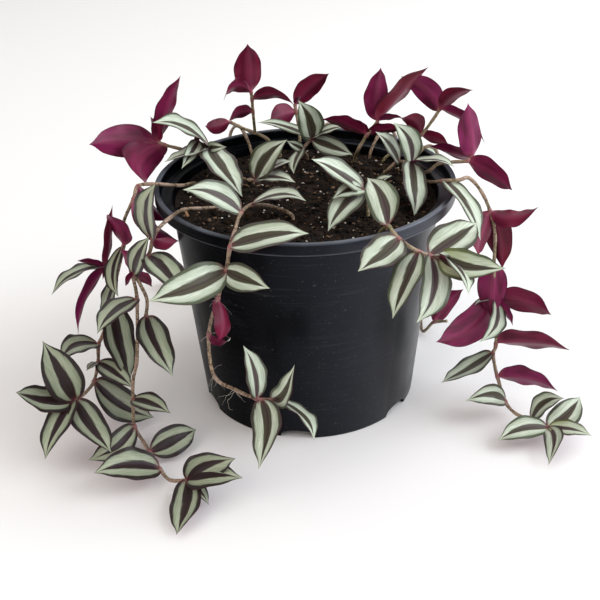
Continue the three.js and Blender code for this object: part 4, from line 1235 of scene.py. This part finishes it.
def notch_cutter(index):
    """The shape that cuts one drain notch through the foot of the wall."""
    half = NOTCH_WIDTH / 2
    outline = [(-half, -NOTCH_HEIGHT), (half, -NOTCH_HEIGHT)]
    for angle in np.linspace(0, math.pi, NOTCH_STEPS + 1):
        across = math.copysign(abs(math.cos(angle)) ** NOTCH_FULLNESS, math.cos(angle))
        outline.append((half * across, NOTCH_HEIGHT * math.sin(angle) ** NOTCH_FULLNESS))
    near, far = FOOT_RADIUS - NOTCH_REACH, FOOT_RADIUS + NOTCH_REACH
    points = [(x, -depth, z) for depth in (near, far) for x, z in outline]
    count = len(outline)
    faces = [list(range(count - 1, -1, -1)), list(range(count, 2 * count))]
    for corner in range(count):
        after = (corner + 1) % count
        faces.append([corner, after, after + count, corner + count])
    turn = Matrix.Rotation(NOTCH_TURN + index * 2 * math.pi / NOTCHES, 4, "Z")
    cutter = mesh_piece("notch", points, faces, [])
    cutter.data.transform(turn)
    return cutter


def cut_notches(piece):
    """Cuts the drain notches out of a piece."""
    cutters = bpy.data.collections.new("notches")
    bpy.context.scene.collection.children.link(cutters)
    for index in range(NOTCHES):
        cutter = notch_cutter(index)
        bpy.context.scene.collection.objects.unlink(cutter)
        cutters.objects.link(cutter)
    cut = piece.modifiers.new("cut", "BOOLEAN")
    cut.operand_type = "COLLECTION"
    cut.collection = cutters
    cut.solver = "EXACT"
    make_plain(piece)
    for cutter in list(cutters.objects):
        bpy.data.objects.remove(cutter)
    bpy.data.collections.remove(cutters)


def pot_piece(material):
    """The pot: a tapered cup with a stepped-out rim, rounded lips and drain notches."""
    rim_foot = POT_HEIGHT - RIM_HEIGHT
    inside = RIM_RADIUS - RIM_WALL
    # Each corner of the wall's outline: its radius, its height, and how far off it the rounding starts
    outline = rounded([
        (0, 0, 0),
        (FOOT_RADIUS, 0, 1.0),
        (NECK_RADIUS, SOIL_TOP, 2.0),
        (NECK_RADIUS + 1, rim_foot - 1, 1.0),
        (RIM_RADIUS, rim_foot, 0.9),
        (RIM_RADIUS, POT_HEIGHT, 0.8),
        (inside, POT_HEIGHT, 0.8),
        (inside, rim_foot + 1.2, 1.2),
        (inner_radius(rim_foot), rim_foot + 0.6, 1.2),
        (inner_radius(FLOOR), FLOOR, 2.0),
        (0, FLOOR, 0),
    ])
    piece = turned("pot_shell", outline, POT_SIDES, [material])
    cut_notches(piece)
    places = np.empty(len(piece.data.vertices) * 3)
    piece.data.vertices.foreach_get("co", places)
    places = places.reshape(-1, 3) / MM
    bearing = np.arctan2(places[:, 1], places[:, 0]) + math.pi / 2
    bearing = np.abs(np.mod(bearing + math.pi, 2 * math.pi) - math.pi)
    wall = np.stack([bearing * NECK_RADIUS, places[:, 2], np.hypot(places[:, 0], places[:, 1])], axis=1)
    set_attribute(piece.data, "wall", "FLOAT_VECTOR", wall)
    piece.data.shade_smooth()
    piece.data.set_sharp_from_angle(angle=POT_SHARP)
    return piece


def soil_level(x, y):
    """The height of the soil's surface at a place, before its crumbs."""
    long = math.sin(LONG_WAVE[0] * x) * math.cos(LONG_WAVE[1] * y)
    short = SHORT_WAVE_SHARE * math.sin(SHORT_WAVE[0] * x + SHORT_WAVE[1] * y)
    return SOIL_TOP - SOIL_DIP * (0.5 + (long + short) / 2 / (1 + SHORT_WAVE_SHARE))


def soil_piece(material):
    """The soil: it fills the pot to below the rim, and its surface is lumpy."""
    edge = inner_radius(SOIL_TOP - SOIL_DIP) - CLEARANCE
    outline = [(0, FLOOR + CLEARANCE), (inner_radius(FLOOR) - CLEARANCE, FLOOR + CLEARANCE)]
    outline += [(edge * ring / SOIL_RINGS, SOIL_TOP) for ring in range(SOIL_RINGS, 0, -1)]
    outline.append((0, SOIL_TOP))
    piece = turned("peat", outline, SOIL_SIDES, [material])
    for vertex in piece.data.vertices:
        x, y, z = vertex.co / MM
        if z > SOIL_TOP / 2:
            place = (x / SOIL_LUMP_SIZE, y / SOIL_LUMP_SIZE, SOIL_LUMP_SEED)
            lump = noise.fractal(place, 1.0, 2.0, 4)
            vertex.co.z = (soil_level(x, y) + SOIL_LUMP * lump) * MM
    cut_notches(piece)
    piece.data.shade_smooth()
    piece.data.set_sharp_from_angle(angle=SOIL_SHARP)
    return piece


def grains_piece(name, tree, material):
    """Loose grains on the soil's surface."""
    edge = NECK_RADIUS - WALL - GRAIN_MARGIN
    points, faces = [], []
    grid = np.linspace(-edge, edge, GRAIN_GRID + 1)
    for y in grid:
        points += [(x, y, soil_level(x, y)) for x in grid]
    for row in range(GRAIN_GRID):
        for column in range(GRAIN_GRID):
            centre = math.hypot(grid[row] + edge / GRAIN_GRID, grid[column] + edge / GRAIN_GRID)
            if centre < edge:
                corner = row * (GRAIN_GRID + 1) + column
                after = corner + GRAIN_GRID + 1
                faces.append([corner, corner + 1, after + 1, after])
    piece = mesh_piece(name, points, faces, [material])
    amount, smallest, largest, stretch, unevenness, sink, roundness, seed = GRAINS[name]
    grow(piece, tree, {
        "Stuff": material, "Grains per square metre": amount, "Smallest": smallest * MM,
        "Largest": largest * MM, "Stretch": stretch, "Unevenness": unevenness, "Sink": sink * MM,
        "Roundness": roundness, "Seed": seed,
    })
    return piece


def keep(piece, finish, *nodes):
    """A finished piece stands for its CAD nodes and moves with the object's one body."""
    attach(piece, "root")
    if nodes:
        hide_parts(*nodes)


def make_shoots():
    """The leaves and the stems of every shoot."""
    blades = [upper_face_material(), underside_material()]
    skin = stem_material()
    rods = sweep_tree()
    slots = {row["node"]: row["material_slot"] for row in frame["record"]["subparts"]}
    shoots = grow_shoots()
    for index, (node, axes) in enumerate(shoots.items()):
        leaves = [leaf for _, own in axes for leaf in own]
        painted_shade = SHADED_SHOOTS.get(node, USUAL_SHADE)
        olive = OLIVE_STEMS.get(node, USUAL_OLIVE)
        foliage = leaf_piece(node + "_leaves", leaves, blades, index, painted_shade)
        stems = stem_piece(node + "_stems", axes, olive, rods, skin)
        keep(foliage, slots[node], node)
        keep(stems, slots[node], node)
    joints = shoots["front_trail"][0][0][ROOTED_JOINTS]
    root_skin = grain_material("young root", "#9c9286", "#c9c1b6", 1.0, 0.5)
    roots = root_piece("front_trail_roots", joints, rods, root_skin)
    keep(roots, "leaf")


def make_pot():
    """The pot with its soil, and what lies on the soil."""
    peat = peat_material()
    perlite = grain_material("expanded perlite", "#918878", "#dcd6ca", 0.8, 0.85)
    fresh_bark = grain_material("fresh bark", "#8a6244", "#c39a72", 0.8, 0.8)
    bark = grain_material("composted bark", "#2e2016", "#8b6c4e", 0.8, 0.85)
    strew = scatter_tree()
    keep(pot_piece(pot_material()), "pot", "pot")
    keep(soil_piece(peat), "soil", "soil")
    keep(grains_piece("peat_crumbs", strew, peat), "soil")
    keep(grains_piece("perlite", strew, perlite), "soil")
    keep(bark_sliver(fresh_bark), "soil")
    keep(grains_piece("bark_chips", strew, bark), "soil")


def bark_sliver(material):
    """The one long chip of bark that leans on the rim at the left."""
    foot, head = (joint_place(place) for place in SLIVER_ENDS)
    length = unit(head - foot)
    width = unit(np.cross(length, AHEAD)) * SLIVER_WIDTH / 2
    depth = np.cross(length, width) * SLIVER_DEPTH / SLIVER_WIDTH
    points = [end + one * width + other * depth
              for end in (foot, head) for one, other in ((-1, -1), (1, -1), (1, 1), (-1, 1))]
    faces = [[3, 2, 1, 0], [4, 5, 6, 7]]
    faces += [[side, (side + 1) % 4, (side + 1) % 4 + 4, side + 4] for side in range(4)]
    return mesh_piece("bark_sliver", points, faces, [material])


def make_floor():
    """A plain pale floor, which isn't part of the object."""
    half = FLOOR_SIZE / 2
    corners = [(-half, -half, 0), (half, -half, 0), (half, half, 0), (-half, half, 0)]
    mesh_piece("floor", corners, [[0, 1, 2, 3]], [floor_material()])


def add_light(name, place, size, power, colour, mirrored):
    """A soft square light, turned toward the object."""
    data = bpy.data.lights.new(name, "AREA")
    data.energy = power
    data.size = size
    data.color = linear(colour)[:3]
    light = bpy.data.objects.new(name, data)
    light.location = place
    light.visible_glossy = mirrored
    light.rotation_euler = (Vector(LIGHT_AIM) - Vector(place)).to_track_quat("-Z", "Y").to_euler()
    bpy.context.scene.collection.objects.link(light)


def make_studio():
    """White surroundings and soft light from above."""
    world = bpy.data.worlds.new("white surroundings")
    world.use_nodes = True
    world.node_tree.nodes["Background"].inputs["Color"].default_value = linear("#fffdfa")
    world.node_tree.nodes["Background"].inputs["Strength"].default_value = WORLD_STRENGTH
    bpy.context.scene.world = world
    for light in LIGHTS:
        add_light(*light)
    bpy.context.scene.view_settings.view_transform = "Standard"


def make_camera():
    """The camera at the reference photograph's viewpoint."""
    data = bpy.data.cameras.new("camera")
    data.sensor_width = SENSOR_WIDTH
    data.lens = SENSOR_WIDTH * VIEW_FOCAL / (2 * VIEW_MIDDLE)
    data.clip_start = 0.01
    camera = bpy.data.objects.new("camera", data)
    axes = Matrix([[*row] for row in np.stack([RIGHT, UP, -AHEAD], axis=1)]).to_4x4()
    camera.matrix_world = Matrix.Translation(Vector(EYE * MM)) @ axes
    bpy.context.scene.collection.objects.link(camera)
    bpy.context.scene.camera = camera


make_camera()
make_studio()
make_floor()
make_pot()
make_shoots()
